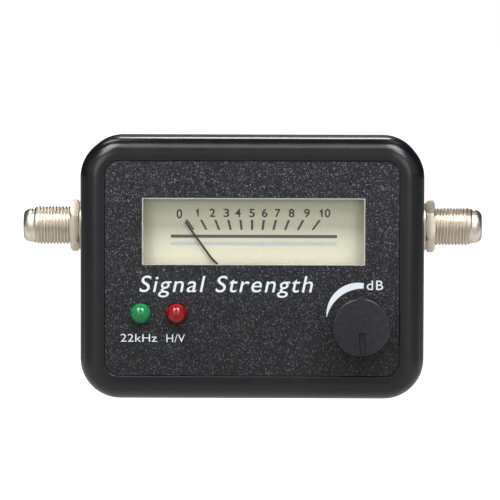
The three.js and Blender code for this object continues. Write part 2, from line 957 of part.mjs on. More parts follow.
function potNut() {
  const start = faceZ + 2 * seat + potWasherThickness;
  const flats = (knobSkirtRadius - potNutSkirtGap) * Math.sqrt(3);
  return hexNut(flats, potNutThickness, bushingRadius + nutClearance, start, mediumSides);
}

function controlKnob() {
  const base = knobBaseZ;
  const top = base + knobHeight;
  const profile = [[0, base], [knobBaseRadius, base]];
  for (let i = 0; i <= roundSteps / 2; i += 1) {
    const angle = (i / roundSteps) * Math.PI;
    const radius = knobRadius - knobEdgeRound * (1 - Math.cos(angle));
    profile.push([radius, top - knobEdgeRound * (1 - Math.sin(angle))]);
  }
  profile.push([0, top]);
  const rib = block(
    [-knobRibWidth / 2, knobRibWidth / 2],
    [knobRadius - knobRibWidth, knobRadius + knobRibRise],
    [base, top - knobRibShortfall],
  );
  const skirt = rod(0, 0, knobSkirtRadius, base - overrun, base + knobSkirtDepth, mediumSides);
  const boreRadius = potShaftRadius + seat;
  const bore = cut(
    rod(0, 0, boreRadius, base, knobBoreEndZ, mediumSides),
    shaftFlat(potShaftRadius - potFlatDepth + seat, shaftFrontZ - potFlatLength + seat, top),
  );
  const mark = block(
    [-knobMarkWidth / 2, knobMarkWidth / 2],
    [-knobMarkEnd, -knobMarkStart],
    [top - knobMarkDepth, top + overrun],
  );
  return cut(join(turned(profile, fineSides), rib), skirt, bore, mark);
}

function potentiometer() {
  const group = new THREE.Group();
  group.position.set(potX, potHeight, 0);
  const steel = { color: 0xb9bcbf, roughness: 0.35, metalness: 1.0 };
  const black = { color: 0x34353a, roughness: 0.45, metalness: 0.0 };
  group.add(
    piece('control_knob', controlKnob(), black),
    piece('pot_shaft', potShaft(), steel),
    piece('pot_wiper', potWiper(), { color: 0xd8c9a0, roughness: 0.6, metalness: 0.0 }),
    piece('pot_housing', potHousing(), steel),
    piece('pot_track', potTrack(), { color: 0x5a3a22, roughness: 0.7, metalness: 0.0 }),
    piece('pot_washer', potWasher(), steel),
    piece('pot_nut', potNut(), steel),
  );
  return group;
}

// Panel meter housing

// The housing is a T seen from the front: the dial's wide part over the movement's narrow one.
function meterOutline(inset) {
  const wide = meterHalfWidth - inset;
  const narrow = movementHalfWidth - inset;
  const points = [
    [windowX - wide, meterUpperTop - inset],
    [windowX - wide, meterUpperBottom + inset],
    [pivotX - narrow, meterUpperBottom + inset],
    [pivotX - narrow, movementBottom + inset],
    [pivotX + narrow, movementBottom + inset],
    [pivotX + narrow, meterUpperBottom + inset],
    [windowX + wide, meterUpperBottom + inset],
    [windowX + wide, meterUpperTop - inset],
  ];
  return new THREE.Shape(points.map(([x, y]) => new THREE.Vector2(x, y)));
}

function movementBlock(inset, back, front) {
  return block(
    [movementLeft + inset, movementRight - inset],
    [movementBottom + inset, movementTop - inset],
    [back, front],
  );
}

function meterLens() {
  const front = innerFrontZ - seat;
  const flange = plate(meterOutline(0), lensBackZ, front);
  const width = windowWidth - 2 * lensPlugSideMargin;
  const height = windowHeight - 2 * lensPlugEndMargin;
  const middle = windowMiddle - lensPlugEndMargin + lensPlugLift;
  const plug = plate(
    roundedRectangle(windowX, middle, width, height, lensPlugRadius),
    front - lensThickness / 2,
    faceZ - lensPlugSink,
  );
  return join(flange, plug);
}

function meterCase() {
  const floorUpper = meterUpperBackZ + meterWall;
  const floorLower = movementFloorZ;
  const front = meterFrontZ + overrun;
  const outside = join(
    plate(meterOutline(0), meterUpperBackZ, meterFrontZ),
    movementBlock(0, meterLowerBackZ, floorUpper),
  );
  const hollow = join(
    plate(meterOutline(meterWall), floorUpper, front),
    movementBlock(meterWall, floorLower, floorUpper + meterWall),
  );
  const supports = [];
  for (const side of [-1, 1]) {
    const scaleBack = scaleFrontZ - scaleThickness - seat;
    const scalePostX = windowX + side * (meterHalfWidth - scalePostInset);
    const scalePostRoot = floorUpper - meterWall / 2;
    supports.push(rod(scalePostX, windowMiddle, scalePostRadius, scalePostRoot, scaleBack));
    for (const up of [-1, 1]) {
      const x = pivotX + side * (yokeHalfWidth - yokeFootInset);
      const y = pivotHeight + up * (yokeHalfHeight - yokeFootInset);
      supports.push(rod(x, y, yokeFootRadius, floorLower - meterWall / 2, yokeBackZ - seat, tinySides));
    }
  }
  const pinHoles = [-1, 1].map((side) => (
    rod(
      pivotX + side * meterPinX,
      meterPinHeight,
      meterPinHoleRadius,
      meterLowerBackZ - overrun,
      floorLower + overrun,
      tinySides,
    )
  ));
  return cut(join(cut(outside, hollow), ...supports), ...pinHoles);
}

function meterScale() {
  const half = meterHalfWidth - meterWall - scaleClearance;
  const inset = meterWall + scaleClearance;
  return block(
    [windowX - half, windowX + half],
    [meterUpperBottom + inset, meterUpperTop - inset],
    [scaleFrontZ - scaleThickness, scaleFrontZ],
  );
}

function meterPin(side) {
  const half = meterPinWidth / 2;
  const x = pivotX + side * meterPinX;
  const front = yokeBackZ - meterPinYokeGap;
  return block([x - half, x + half], [meterPinHeight - half, meterPinHeight + half], [pinEndZ, front]);
}

// Movement, round the z axis at its pivot

const movementFloorZ = meterLowerBackZ + meterWall;
const coilFrontZ = scaleFrontZ - coilBehindScale;
const magnetFrontZ = coilFrontZ - coilWidth - coilClearance;
const jewelBackFrontZ = movementFloorZ + movementFloorGap + jewelThickness;
const staffBackEndZ = jewelBackFrontZ - jewelHoleDepth + seat;
const coilBackZ = staffBackEndZ + staffBackLength;
const magnetBackZ = coilBackZ + coilWidth + coilClearance;
const yokeBackZ = magnetBackZ - yokeOverhang;
const yokeFrontZ = magnetFrontZ + yokeOverhang;
const yokeBore = magnetRadius + airGap;
const bridgePillarX = (yokeBore + yokeHalfWidth) / 2;
const coilInner = magnetRadius + coilClearance;
const coilOuter = yokeBore - coilClearance;
const bridgeFrontZ = meterFrontZ - seat;
const jewelFrontBackZ = bridgeFrontZ - jewelThickness + seat;
const staffFrontEndZ = jewelFrontBackZ + jewelHoleDepth - seat;

function meterYoke() {
  const frame = block(
    [-yokeHalfWidth, yokeHalfWidth],
    [-yokeHalfHeight, yokeHalfHeight],
    [yokeBackZ, yokeFrontZ],
  );
  return cut(frame, rod(0, 0, yokeBore, yokeBackZ - overrun, yokeFrontZ + overrun, mediumSides));
}

function coreSpacer(up) {
  const inner = magnetRadius + seat;
  const outer = yokeBore - seat;
  const half = THREE.MathUtils.degToRad(spacerHalfDegrees);
  const middle = (up * Math.PI) / 2;
  const shape = new THREE.Shape();
  shape.absarc(0, 0, outer, middle - half, middle + half, false);
  shape.absarc(0, 0, inner, middle + half, middle - half, true);
  shape.closePath();
  return plate(shape, magnetBackZ + spacerSetback, magnetFrontZ - spacerSetback);
}

function movingCoil() {
  const half = coilWidth / 2;
  const outside = block([-coilOuter, coilOuter], [-half, half], [coilBackZ, coilFrontZ]);
  const inside = block(
    [-coilInner, coilInner],
    [-half - overrun, half + overrun],
    [coilBackZ + coilWidth, coilFrontZ - coilWidth],
  );
  return cut(outside, inside);
}

// The pointer stands up from its hub. A short step to the left near the foot of the dial carries
// the upper stretch beside the line of the lower one.
function meterNeedle() {
  const root = needleRootWidth / 2;
  const tip = needleTipWidth / 2;
  const bendEnd = needleKinkRadius + needleKinkLength;
  const shape = new THREE.Shape();
  shape.moveTo(-root, 0);
  shape.lineTo(-root, -needleTailLength);
  shape.lineTo(root, -needleTailLength);
  shape.lineTo(root, needleKinkRadius);
  shape.lineTo(root - needleKinkOffset, bendEnd);
  shape.lineTo(tip, needleLength);
  shape.lineTo(-tip, needleLength);
  shape.lineTo(-root - needleKinkOffset, bendEnd);
  shape.lineTo(-root, needleKinkRadius);
  shape.closePath();
  const tail = block(
    [-needleTailWidth / 2, needleTailWidth / 2],
    [-needleTailLength, -needleTailLength + needleTailWidth],
    [needleBackZ, needleFrontZ],
  );
  const hub = rod(0, 0, needleHubRadius, needleBackZ, needleFrontZ);
  const bore = rod(0, 0, staffRadius + seat, needleBackZ - overrun, needleFrontZ + overrun, tinySides);
  return cut(join(plate(shape, needleBackZ, needleFrontZ), tail, hub), bore);
}

function staffFront() {
  return rod(0, 0, staffRadius, coilFrontZ + seat, staffFrontEndZ, tinySides);
}

function staffBack() {
  return rod(0, 0, staffRadius, staffBackEndZ, coilBackZ - seat, tinySides);
}

// A bearing cup with its blind hole facing the staff: facing is 1 where the hole opens forward.
function jewel(openZ, facing) {
  const closedZ = openZ - facing * jewelThickness;
  const bottomZ = openZ - facing * jewelHoleDepth;
  const low = Math.min(openZ, closedZ);
  const high = Math.max(openZ, closedZ);
  const holeLow = Math.min(bottomZ, openZ + facing * overrun);
  const holeHigh = Math.max(bottomZ, openZ + facing * overrun);
  const cup = rod(0, 0, jewelRadius, low, high);
  return cut(cup, rod(0, 0, jewelHoleRadius, holeLow, holeHigh, tinySides));
}

// A strap over the movement on two pillars that stand on the yoke.
function bridge(strapLow, strapHigh, pillarLow, pillarHigh) {
  const reach = bridgePillarX + bridgePillarRadius;
  const strap = block([-reach, reach], [-bridgeHalfWidth, bridgeHalfWidth], [strapLow, strapHigh]);
  const pillars = [-1, 1].map((side) => (
    rod(side * bridgePillarX, 0, bridgePillarRadius, pillarLow, pillarHigh, tinySides)
  ));
  const hole = rod(0, 0, jewelRadius + seat, strapLow - overrun, strapHigh + overrun);
  return cut(join(strap, ...pillars), hole);
}

function bridgeFront() {
  const low = bridgeFrontZ - bridgeThickness;
  return bridge(low, bridgeFrontZ, yokeFrontZ + seat, bridgeFrontZ - bridgeThickness / 2);
}

function bridgeBack() {
  const high = jewelBackFrontZ - seat;
  const low = high - bridgeThickness;
  return bridge(low, high, low + bridgeThickness / 2, yokeBackZ - seat);
}

// A flat spiral ribbon: its section is a thin upright rectangle.
function hairspring(back) {
  const steps = springTurns * coarseSides;
  const rings = [];
  for (let i = 0; i <= steps; i += 1) {
    const turn = i / coarseSides;
    const angle = 2 * Math.PI * turn;
    const inner = springInnerRadius + springPitch * turn;
    const outer = inner + springRibbon;
    const front = back + springWidth;
    rings.push([
      [inner * Math.cos(angle), inner * Math.sin(angle), back],
      [inner * Math.cos(angle), inner * Math.sin(angle), front],
      [outer * Math.cos(angle), outer * Math.sin(angle), front],
      [outer * Math.cos(angle), outer * Math.sin(angle), back],
    ]);
  }
  return skin(rings);
}

function movement() {
  const metal = { color: 0xa9abad, roughness: 0.4, metalness: 1.0 };
  const bronze = { color: 0xb98a4a, roughness: 0.4, metalness: 1.0 };
  const ruby = { color: 0x8a1f3a, roughness: 0.2, metalness: 0.0 };
  const group = new THREE.Group();
  group.position.set(pivotX, pivotHeight, 0);
  const turning = new THREE.Group();
  turning.rotation.z = THREE.MathUtils.degToRad(needleZeroDegrees);
  turning.add(
    piece('moving_coil', movingCoil(), { color: 0xa65a2c, roughness: 0.45, metalness: 0.6 }),
    piece('meter_needle', meterNeedle(), { color: 0x1c1c1e, roughness: 0.6, metalness: 0.0 }),
    piece('staff_front', staffFront(), metal),
    piece('staff_back', staffBack(), metal),
  );
  const springFrontZ = (coilFrontZ + needleBackZ) / 2 - springWidth / 2;
  const springBackZ = coilBackZ - springWidth - (staffBackLength - jewelHoleDepth) / 2 + seat;
  group.add(
    turning,
    piece('meter_yoke', meterYoke(), metal),
    piece('meter_magnet', rod(0, 0, magnetRadius, magnetBackZ, magnetFrontZ, mediumSides), {
      color: 0x5c5d60,
      roughness: 0.55,
      metalness: 0.8,
    }),
    piece('core_spacer_upper', coreSpacer(1), bronze),
    piece('core_spacer_lower', coreSpacer(-1), bronze),
    piece('hairspring_front', hairspring(springFrontZ), bronze),
    piece('hairspring_back', hairspring(springBackZ), bronze),
    piece('jewel_front', jewel(jewelFrontBackZ, -1), ruby),
    piece('jewel_back', jewel(jewelBackFrontZ, 1), ruby),
    piece('bridge_front', bridgeFront(), metal),
    piece('bridge_back', bridgeBack(), metal),
  );
  return group;
}

function panelMeter() {
  const group = new THREE.Group();
  const pinMetal = { color: 0xc4c6c8, roughness: 0.3, metalness: 1.0 };
  group.add(
    piece('meter_lens', meterLens(), {
      color: 0xf2f4f2,
      roughness: 0.06,
      metalness: 0.0,
      transparent: true,
      opacity: 0.25,
    }),
    piece('meter_case', meterCase(), { color: 0x1d1d1f, roughness: 0.6, metalness: 0.0 }),
    piece('meter_scale', meterScale(), { color: 0xe4e1c8, roughness: 0.7, metalness: 0.0 }),
    piece('meter_pin_left', meterPin(-1), pinMetal),
    piece('meter_pin_right', meterPin(1), pinMetal),
    movement(),
  );
  return group;
}

// Circuit board and what stands on its back

// The board reaches the side walls between the cover posts, and is notched for the connectors.
function boardSheet() {
  const z = [boardBackZ, boardFrontZ];
  const narrow = postX - backPostRadius - boardEdgeGap;
  const shoulder = backPostRadius + boardEdgeGap;
  const wide = block(
    [-boardHalfWidth, boardHalfWidth],
    [postHeights[0] + shoulder, postHeights[1] - shoulder],
    z,
  );
  const tall = block([-narrow, narrow], [boardBottom, boardTop], z);
  const notchX = neckEnd - boardEdgeGap;
  const notchY = connectorFlangeRadius + boardEdgeGap;
  const notches = [-1, 1].map((side) => {
    const edges = [side * notchX, side * (boardHalfWidth + overrun)];
    return block(
      [Math.min(...edges), Math.max(...edges)],
      [connectorHeight - notchY, connectorHeight + notchY],
      [boardBackZ - overrun, boardFrontZ + overrun],
    );
  });
  return cut(join(wide, tall), ...notches);
}

function circuitBoard() {
  const back = boardBackZ - overrun;
  const front = boardFrontZ + overrun;
  const holes = boardScrewPlaces.map(([x, y]) => (
    rod(x, y, boardScrewRadius + 2 * screwHoleClearance, back, front)
  ));
  for (const side of [-1, 1]) {
    for (const x of [greenLampX, redLampX]) {
      const leadX = x + (side * lampLeadSpacing) / 2;
      holes.push(rod(leadX, lampHeight, leadHoleRadius, back, front, tinySides));
    }
    const pinX = pivotX + side * meterPinX;
    holes.push(rod(pinX, meterPinHeight, meterPinHoleRadius, back, front, tinySides));
  }
  for (const step of [-1, 0, 1]) {
    const x = potX + step * potPinSpacing;
    holes.push(rod(x, potHeight - potPinDrop, potPinRadius + pinHoleClearance, back, front, tinySides));
  }
  return cut(boardSheet(), ...holes);
}

const canBottom = connectorHeight - canHeight / 2;
const canTop = connectorHeight + canHeight / 2;
const chipHeight = canBottom - chipCanGap - chipLegLength - chipWidth / 2;
const chipBottom = chipHeight - chipWidth / 2 - chipLegLength;
const capacitorHeight = chipBottom - capacitorChipGap - capacitorRadius;
const buzzerHeight = canBottom - buzzerCanGap - buzzerRadius;

function shieldCan() {
  const front = boardBackZ - seat;
  const back = innerBackZ + canCoverGap;
  const half = caseWidth / 2 - canSideMargin;
  const outside = block([-half, half], [canBottom, canTop], [back, front]);
  const inside = block(
    [-half + canWall, half - canWall],
    [canBottom + canWall, canTop - canWall],
    [back + canWall, front + overrun],
  );
  return cut(outside, inside);
}

function amplifierChip() {
  const front = boardBackZ - seat;
  const back = front - chipThickness;
  const body = block(
    [chipX - chipLength / 2, chipX + chipLength / 2],
    [chipHeight - chipWidth / 2, chipHeight + chipWidth / 2],
    [back, front - chipLegThickness],
  );
  const legs = [];
  for (const side of [-1, 1]) {
    for (const step of [-1.5, -0.5, 0.5, 1.5]) {
      const x = chipX + step * chipLegPitch;
      const root = chipHeight + side * (chipWidth / 2 - chipLegWidth);
      const end = chipHeight + side * (chipWidth / 2 + chipLegLength);
      legs.push(block(
        [x - chipLegWidth / 2, x + chipLegWidth / 2],
        [Math.min(root, end), Math.max(root, end)],
        [front - 2 * chipLegThickness, front],
      ));
    }
  }
  return join(body, ...legs);
}

function capacitor(x) {
  const back = innerBackZ + capacitorCoverGap;
  return rod(x, capacitorHeight, capacitorRadius, back, boardBackZ - seat);
}

function buzzer() {
  const front = boardBackZ - seat;
  const back = innerBackZ + buzzerCoverGap;
  const body = rod(buzzerX, buzzerHeight, buzzerRadius, back, front, mediumSides);
  const hole = rod(buzzerX, buzzerHeight, buzzerHoleRadius, back - overrun, back + buzzerHoleDepth);
  return cut(body, hole);
}

function boardAssembly() {
  const group = new THREE.Group();
  const can = { color: 0x2f4a7a, roughness: 0.35, metalness: 0.3 };
  group.add(
    piece('circuit_board', circuitBoard(), { color: 0x2f5a3c, roughness: 0.5, metalness: 0.0 }),
    piece('shield_can', shieldCan(), { color: 0xc0c2c4, roughness: 0.3, metalness: 1.0 }),
    piece('amplifier_chip', amplifierChip(), { color: 0x232325, roughness: 0.6, metalness: 0.0 }),
    piece('capacitor_left', capacitor(capacitorLeftX), can),
    piece('capacitor_right', capacitor(capacitorRightX), can),
    piece('buzzer', buzzer(), { color: 0x18181a, roughness: 0.5, metalness: 0.0 }),
  );
  boardScrewPlaces.forEach(([x, y], i) => {
    group.add(piece(`board_screw_${i + 1}`, boardScrew(x, y), {
      color: 0xb9bcbf,
      roughness: 0.35,
      metalness: 1.0,
    }));
  });
  return group;
}

function caseAssembly() {
  const gloss = { color: 0x222225, roughness: 0.18, metalness: 0.0 };
  const print = { color: 0x37383b, roughness: 0.7, metalness: 0.0 };
  const group = new THREE.Group();
  group.add(
    piece('front_cover', frontCover(), gloss),
    piece('back_cover', backCover(), gloss),
    piece('front_label', frontLabel(), print),
    piece('rear_label', rearLabel(), print),
  );
  const places = postHeights.flatMap((y) => [[-postX, y], [postX, y]]);
  places.forEach(([x, y], i) => {
    group.add(piece(`cover_screw_${i + 1}`, coverScrew(x, y), {
      color: 0x3a3a3d,
      roughness: 0.35,
      metalness: 1.0,
    }));
  });
  return group;
}

const signalMeter = new THREE.Group();
signalMeter.name = 'satellite_signal_meter';
const instrument = new THREE.Group();
instrument.rotation.x = Math.PI / 2;
instrument.add(
  caseAssembly(),
  panelMeter(),
  potentiometer(),
  lamp('led_green', greenLampX, 0x198c50),
  lamp('led_red', redLampX, 0x961923),
  connector('left', -1),
  connector('right', 1),
  boardAssembly(),
);
signalMeter.add(instrument);

export default signalMeter;
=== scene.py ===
"""Looks of a handheld satellite signal meter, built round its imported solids.

Sizes are millimetres and become metres when a piece is made. Camera, lights and floor are given in
metres. X runs right, Y away from the viewer and Z up, with the meter standing on Z = 0 and facing
-Y. A size whose name ends in OUTLINE is a half width, a half height and a corner radius.
"""

import json
import math

import bmesh
import bpy
from mathutils import Matrix, Vector


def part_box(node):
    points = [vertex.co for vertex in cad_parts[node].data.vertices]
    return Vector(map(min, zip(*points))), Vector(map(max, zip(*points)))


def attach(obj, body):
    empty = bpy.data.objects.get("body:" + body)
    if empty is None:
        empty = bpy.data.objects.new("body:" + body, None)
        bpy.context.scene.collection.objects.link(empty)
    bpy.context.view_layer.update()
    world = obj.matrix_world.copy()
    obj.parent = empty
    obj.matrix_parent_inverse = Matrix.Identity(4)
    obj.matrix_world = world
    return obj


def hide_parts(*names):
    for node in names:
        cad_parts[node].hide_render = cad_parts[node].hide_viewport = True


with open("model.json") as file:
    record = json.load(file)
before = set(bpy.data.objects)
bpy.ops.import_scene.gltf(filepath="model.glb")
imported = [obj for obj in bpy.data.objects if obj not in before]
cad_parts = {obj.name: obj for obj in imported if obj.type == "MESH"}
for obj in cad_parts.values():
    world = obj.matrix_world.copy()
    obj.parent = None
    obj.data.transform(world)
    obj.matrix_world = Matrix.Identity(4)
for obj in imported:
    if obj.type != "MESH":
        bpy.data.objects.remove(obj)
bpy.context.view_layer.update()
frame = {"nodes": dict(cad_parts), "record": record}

MM = 0.001
OVERRUN = 1.0

# Case
CASE_HALF_WIDTH = 41.35
CASE_MIDDLE = 31.5
CASE_OUTLINE = (CASE_HALF_WIDTH, 31.5, 9.7)
FRONT = -13.5
BACK = 13.5
SEAM = 3.0
SEAM_GAP = 0.1
SEAM_CHAMFER = 0.25
WALL = 2.0
LIP = 0.9
LIP_HEIGHT = 1.2
LIP_GAP = 0.15
FRONT_ROUND = 5.0
FRONT_FULLNESS = 0.8
BACK_ROUND = 3.5
INNER_FRONT = -10.9
INNER_BACK = 11.5
INNER_ROUND = 1.5
INNER_FRONT_SLOPE = 2.4

# Labels
RECESS_MIDDLE = (0.0, 31.62)
RECESS_OUTLINE = (35.31, 25.83, 3.4)
RECESS_FLOOR = -12.9
RECESS_EDGE = 0.3
GUTTER_DEPTH = 0.6
LABEL_OUTLINE = (35.16, 25.68, 3.25)
LABEL_OVERHANG = 0.1
LABEL_FRONT = -13.2
LABEL_CUT = 0.13
LABEL_PRINT_THICKNESS = 0.02
REAR_LABEL_OUTLINE = (23.0, 15.0, 2.0)
REAR_LABEL_GAP = 0.1
REAR_LABEL_BACK = 13.4
REAR_LABEL_FRONT = 13.2

# Words on the label: text, left, right, foot, capital height, weight, slant and letter spacing
LABEL_WORDS = [
    ("Signal Strength", -27.0, 14.6, 25.95, 3.9, 0.003, 0.2, 1.14),
    ("22kHz", -31.5, -22.75, 13.97, 1.85, 0.0, 0.0, 1.04),
    ("H/V", -20.5, -16.05, 13.9, 1.85, 0.0, 0.0, 1.06),
    ("dB", 27.5, 31.45, 26.6, 2.25, 0.006, 0.0, 1.15),
]

# Window
WINDOW_MIDDLE = (0.35, 40.5)
WINDOW_OUTLINE = (26.75, 8.05, 0.3)
PLUG_MIDDLE = (0.35, 39.9)
PLUG_OUTLINE = (24.65, 7.15, 3.6)
PLUG_FRONT = -12.9
PLUG_EDGE = 0.5
LENS_HALF_HEIGHT = 10.1
LENS_CORNER = 0.6
LENS_FRONT = -10.8
LENS_BACK = -10.0
RIM_FRONT = -13.16
RIM_OUTER = 0.03
RIM_INNER = 0.27
RIM_CORNER = 0.35
RIM_HEIGHT_SHARE = 0.7
RIM_DROP_SHARE = 0.3

# Dial, with leans in degrees from upright
DIAL_FRONT = -8.3
PIVOT_X = 0.1
PIVOT_Z = 20.65
FIRST_LEAN = -36.0
LEAN_STEP = 7.2
FIGURES = 11
FIGURE_LINE = 44.7
FIGURE_SHIFT = -0.18
FIGURE_HALF_WIDTH = 0.68
FIGURE_WEIGHT = 0.018
FIGURE_FOOT = 43.72
FIGURE_HEIGHT = 2.0
ZERO_FOOT = 43.35
ZERO_HEIGHT = 2.2
ONE_STEM = 0.42
FOUR_SHIFT = -0.33
TEN_STEM = -0.48
TEN_NOUGHT = (0.02, 1.36)
DIAL_PRINT_THICKNESS = 0.015
TICK_FOOT = 40.65
TICK_HEAD = 43.05
TICK_WIDTH = 0.55
TICK_SHIFT = -0.15
FIRST_TICK_SHIFT = 0.45
LINE_THICKNESS = 0.016
DARK_LINE = ((-19.6, 20.4), (38.71, 39.46))
PALE_BAND = ((-19.6, 20.3), (36.88, 37.77))

# Needle, with its spine as distance from the pivot, place to the side and half width
NEEDLE_SPINE = [(-5.0, 0.15, 0.26), (14.0, 0.15, 0.25), (16.6, -0.27, 0.23), (27.3, -0.22, 0.21)]
NEEDLE_TAIL_HALF_WIDTH = 0.65
NEEDLE_TAIL = (-5.0, -3.7)
NEEDLE_HUB = 1.1
NEEDLE_BORE = 0.29
NEEDLE_EDGE = 0.03

# Lamps
LAMP_Z = 20.76
GREEN_X = -26.7
RED_X = -18.1
LAMP_RADIUS = 2.5
LAMP_DOME = -13.7
LAMP_FLANGE_FRONT = -8.6
LAMP_FLANGE_BACK = -7.6
LAMP_FLANGE_RADIUS = 2.9
LAMP_HOLE = 2.65

# Knob
KNOB_X = 26.1
KNOB_Z = 18.35
KNOB_BASE = -13.7
KNOB_FACE = -22.7
KNOB_RADIUS = 6.85
KNOB_BASE_RADIUS = 6.6
KNOB_BASE_EDGE = 0.15
KNOB_SHOULDER = 2.0
KNOB_SHOULDER_RADIUS = 6.7
KNOB_EDGE = 0.4
KNOB_SKIRT = 5.9
KNOB_SKIRT_DEPTH = 2.4
KNOB_SOCKET = 3.05
KNOB_SOCKET_FLOOR = -20.9
RIB_HALF_WIDTH = 0.95
RIB_LENGTH = 2.4
RIB_START = 4.65
RIB_PROUD = 0.2
RIB_SUNK = 0.05
GROOVE_TURN = -4.0
GROOVE_HALF_WIDTH = 0.8
GROOVE_ENDS = (-6.9, -1.3)
GROOVE_SLOPE_DEPTH = 0.2
GROOVE_FLOOR_HALF_WIDTH = 0.6
GROOVE_FLOOR_ENDS = (-6.8, -1.5)
GROOVE_FLOOR_DEPTH = 0.9
GROOVE_OVERLAP = 0.05
BUSHING_HOLE = 3.65

# Connectors, along X from the middle of the case
CONNECTOR_Y = 3.0
CONNECTOR_Z = 41.0
CONNECTOR_PLACE = (0.0, CONNECTOR_Y, CONNECTOR_Z)
THREAD_CREST = 4.67
THREAD_ROOT = 4.19
THREAD_PITCH = 0.794
THREAD_CLEARANCE = 0.1
THREAD_HOLE = THREAD_CREST + THREAD_CLEARANCE
THREAD_END = 53.65
THREAD_LEAD_IN = 0.2
THREAD_RUN_OUT_TURNS = 2.2
TOOTH_SHARES = [(0.0, 0.0), (0.10, 0.0), (0.42, 1.0), (0.68, 1.0)]
TIP = 55.65
NOSE_RADIUS = 4.05
NOSE_LAND = 0.08
NOSE_ROUND_LENGTH = 1.9
NOSE_ROUND_DEPTH = 1.5
BORE_RADIUS = 2.5
BORE_EDGE = 0.05
BARREL_INNER = 34.25
FLANGE_INNER = 37.75
FLANGE_OUTER = 39.25
FLANGE_RADIUS = 6.0
NECK_RADIUS = 3.6
WASHER_START = 41.45
WASHER_END = 41.95
WASHER_RADIUS = 6.0
WASHER_EDGE = 0.1
NUT_START = 42.05
NUT_END = 44.25
NUT_FLATS = 11.0
NUT_CORNER = NUT_FLATS / math.sqrt(3)
NUT_ROUND_DEPTH = 0.75
NUT_ROUND_LENGTH = 0.45
NUT_ROUND_REACH = 0.02
NUT_EDGE = 0.08
NUT_TURN = {"left": 4.6, "right": -3.0}
INSULATOR_RADIUS = 2.4
INSULATOR_HOLE = 0.6
INSULATOR_EDGE = 0.2

# Cover screws: their places and seats in the case, then a screw's own sizes from its seat outwards
SCREW_X = 33.45
SCREW_LOW = 7.9
SCREW_HIGH = 55.1
SCREW_SEAT = 6.6
SCREW_GAP = 0.1
SCREW_POST = 4.2
SCREW_HOLE = 1.75
COUNTERBORE = 3.0
HEAD_RADIUS = 2.7
HEAD_TOP = 1.8
HEAD_FLAT = 1.5
HEAD_SIDE = 0.6
HEAD_ROUND = 1.2
SHANK_RADIUS = 1.45
SHANK_END = -9.0
SCREW_POINT = -10.4
CROSS_HALF_WIDTH = 0.3
CROSS_REACH = 1.4
CROSS_FLOOR = 0.8

# Steps of the round shapes
CORNER_STEPS = 20
ROUND_STEPS = 18
EDGE_STEPS = 6
FINE_STEPS = 8
NOSE_STEPS = 10
DOME_STEPS = 24
SCREW_STEPS = 40
TURN_STEPS = 72
FINE_TURN_STEPS = 96
SUPPORT = 0.25
SMOOTH_ANGLE = 32.0
NUT_SMOOTH_ANGLE = 25.0

# Lights: name, degrees to the right of the front, degrees up, distance, width, height and power
SOFT_BOXES = [
    ("high_box_left", -36.0, 57.0, 1.2, 0.46, 0.55, 8.1),
    ("high_box_right", 36.0, 57.0, 1.2, 0.46, 0.55, 8.1),
    ("overhead_strip", 0.0, 52.5, 1.2, 0.50, 0.24, 1.25),
    ("front_box_left", -30.0, 36.0, 1.6, 0.34, 0.36, 3.8),
    ("front_box_right", 30.0, 36.0, 1.6, 0.34, 0.36, 3.8),
    ("side_box_left", -20.0, 10.0, 1.4, 0.34, 0.50, 1.3),
    ("side_box_right", 19.0, 10.0, 1.4, 0.34, 0.50, 1.3),
    ("top_box_left", -128.0, 61.0, 0.19, 0.06, 0.06, 0.040),
    ("top_box_right", 128.0, 61.0, 0.19, 0.06, 0.06, 0.009),
    ("rear_box", 178.5, 31.0, 0.9, 0.2, 0.22, 0.90),
]

# Glow of the floor under the case, by metres in front of or behind the meter's middle
FLOOR_LEVELS = [
    (0.0125, 0.85), (0.0145, 0.44), (0.022, 0.34), (0.034, 0.03), (0.20, 0.03), (0.9, 0.20),
]

# Brightness of the room by degrees above the floor
ROOM_LEVELS = [
    (-90.0, 0.3), (-1.0, 0.3), (2.0, 0.30), (8.0, 0.66),
    (22.0, 0.58), (40.0, 0.30), (58.0, 0.10), (90.0, 0.07),
]


# Mesh helpers


def quarter_turn(steps):
    """Angles from nothing to a right angle in even steps."""
    return [step / steps * math.pi / 2 for step in range(steps + 1)]


def round_off(end, depth, length, steps):
    """(Inset, place) pairs of a quarter round from the side of a shape to its end face."""
    return [
        (depth * (1 - math.cos(angle)), end + length * (1 - math.sin(angle)))
        for angle in quarter_turn(steps)
    ]


def rounded_ring(outline, y, centre=(0.0, CASE_MIDDLE), inset=0.0):
    """Points of an upright rounded rectangle at depth y, with support points beside its corners."""
    half_width, half_height, corner = (size - inset for size in outline)
    points = []
    reach = SUPPORT if min(half_width, half_height) - corner > 2 * SUPPORT else 0.0
    for quarter in range(4):
        side_x = 1 if quarter in (0, 3) else -1
        side_z = 1 if quarter in (0, 1) else -1
        middle = Vector((
            centre[0] + side_x * (half_width - corner),
            y,
            centre[1] + side_z * (half_height - corner),
        ))
        for step, part in enumerate(quarter_turn(CORNER_STEPS)):
            angle = quarter * math.pi / 2 + part
            out = Vector((math.cos(angle), 0.0, math.sin(angle)))
            along = Vector((-math.sin(angle), 0.0, math.cos(angle)))
            if step == 0 and reach:
                points.append(middle + out * corner - along * reach)
            points.append(middle + out * corner)
            if step == CORNER_STEPS and reach:
                points.append(middle + out * corner + along * reach)
    return points


def rings_of(outline, places, centre=(0.0, CASE_MIDDLE)):
    """Rings of one outline at each (inset, depth) pair."""
    return [rounded_ring(outline, y, centre, inset) for inset, y in places]


def band(shell, low, high):
    """Faces between two rows of points, either of which may be a single point."""
    count = max(len(low), len(high))
    for i in range(count):
        j = (i + 1) % count
        corners = [low[i % len(low)], low[j % len(low)], high[j % len(high)], high[i % len(high)]]
        distinct = list(dict.fromkeys(corners))
        if len(distinct) > 2:
            shell.faces.new(distinct)


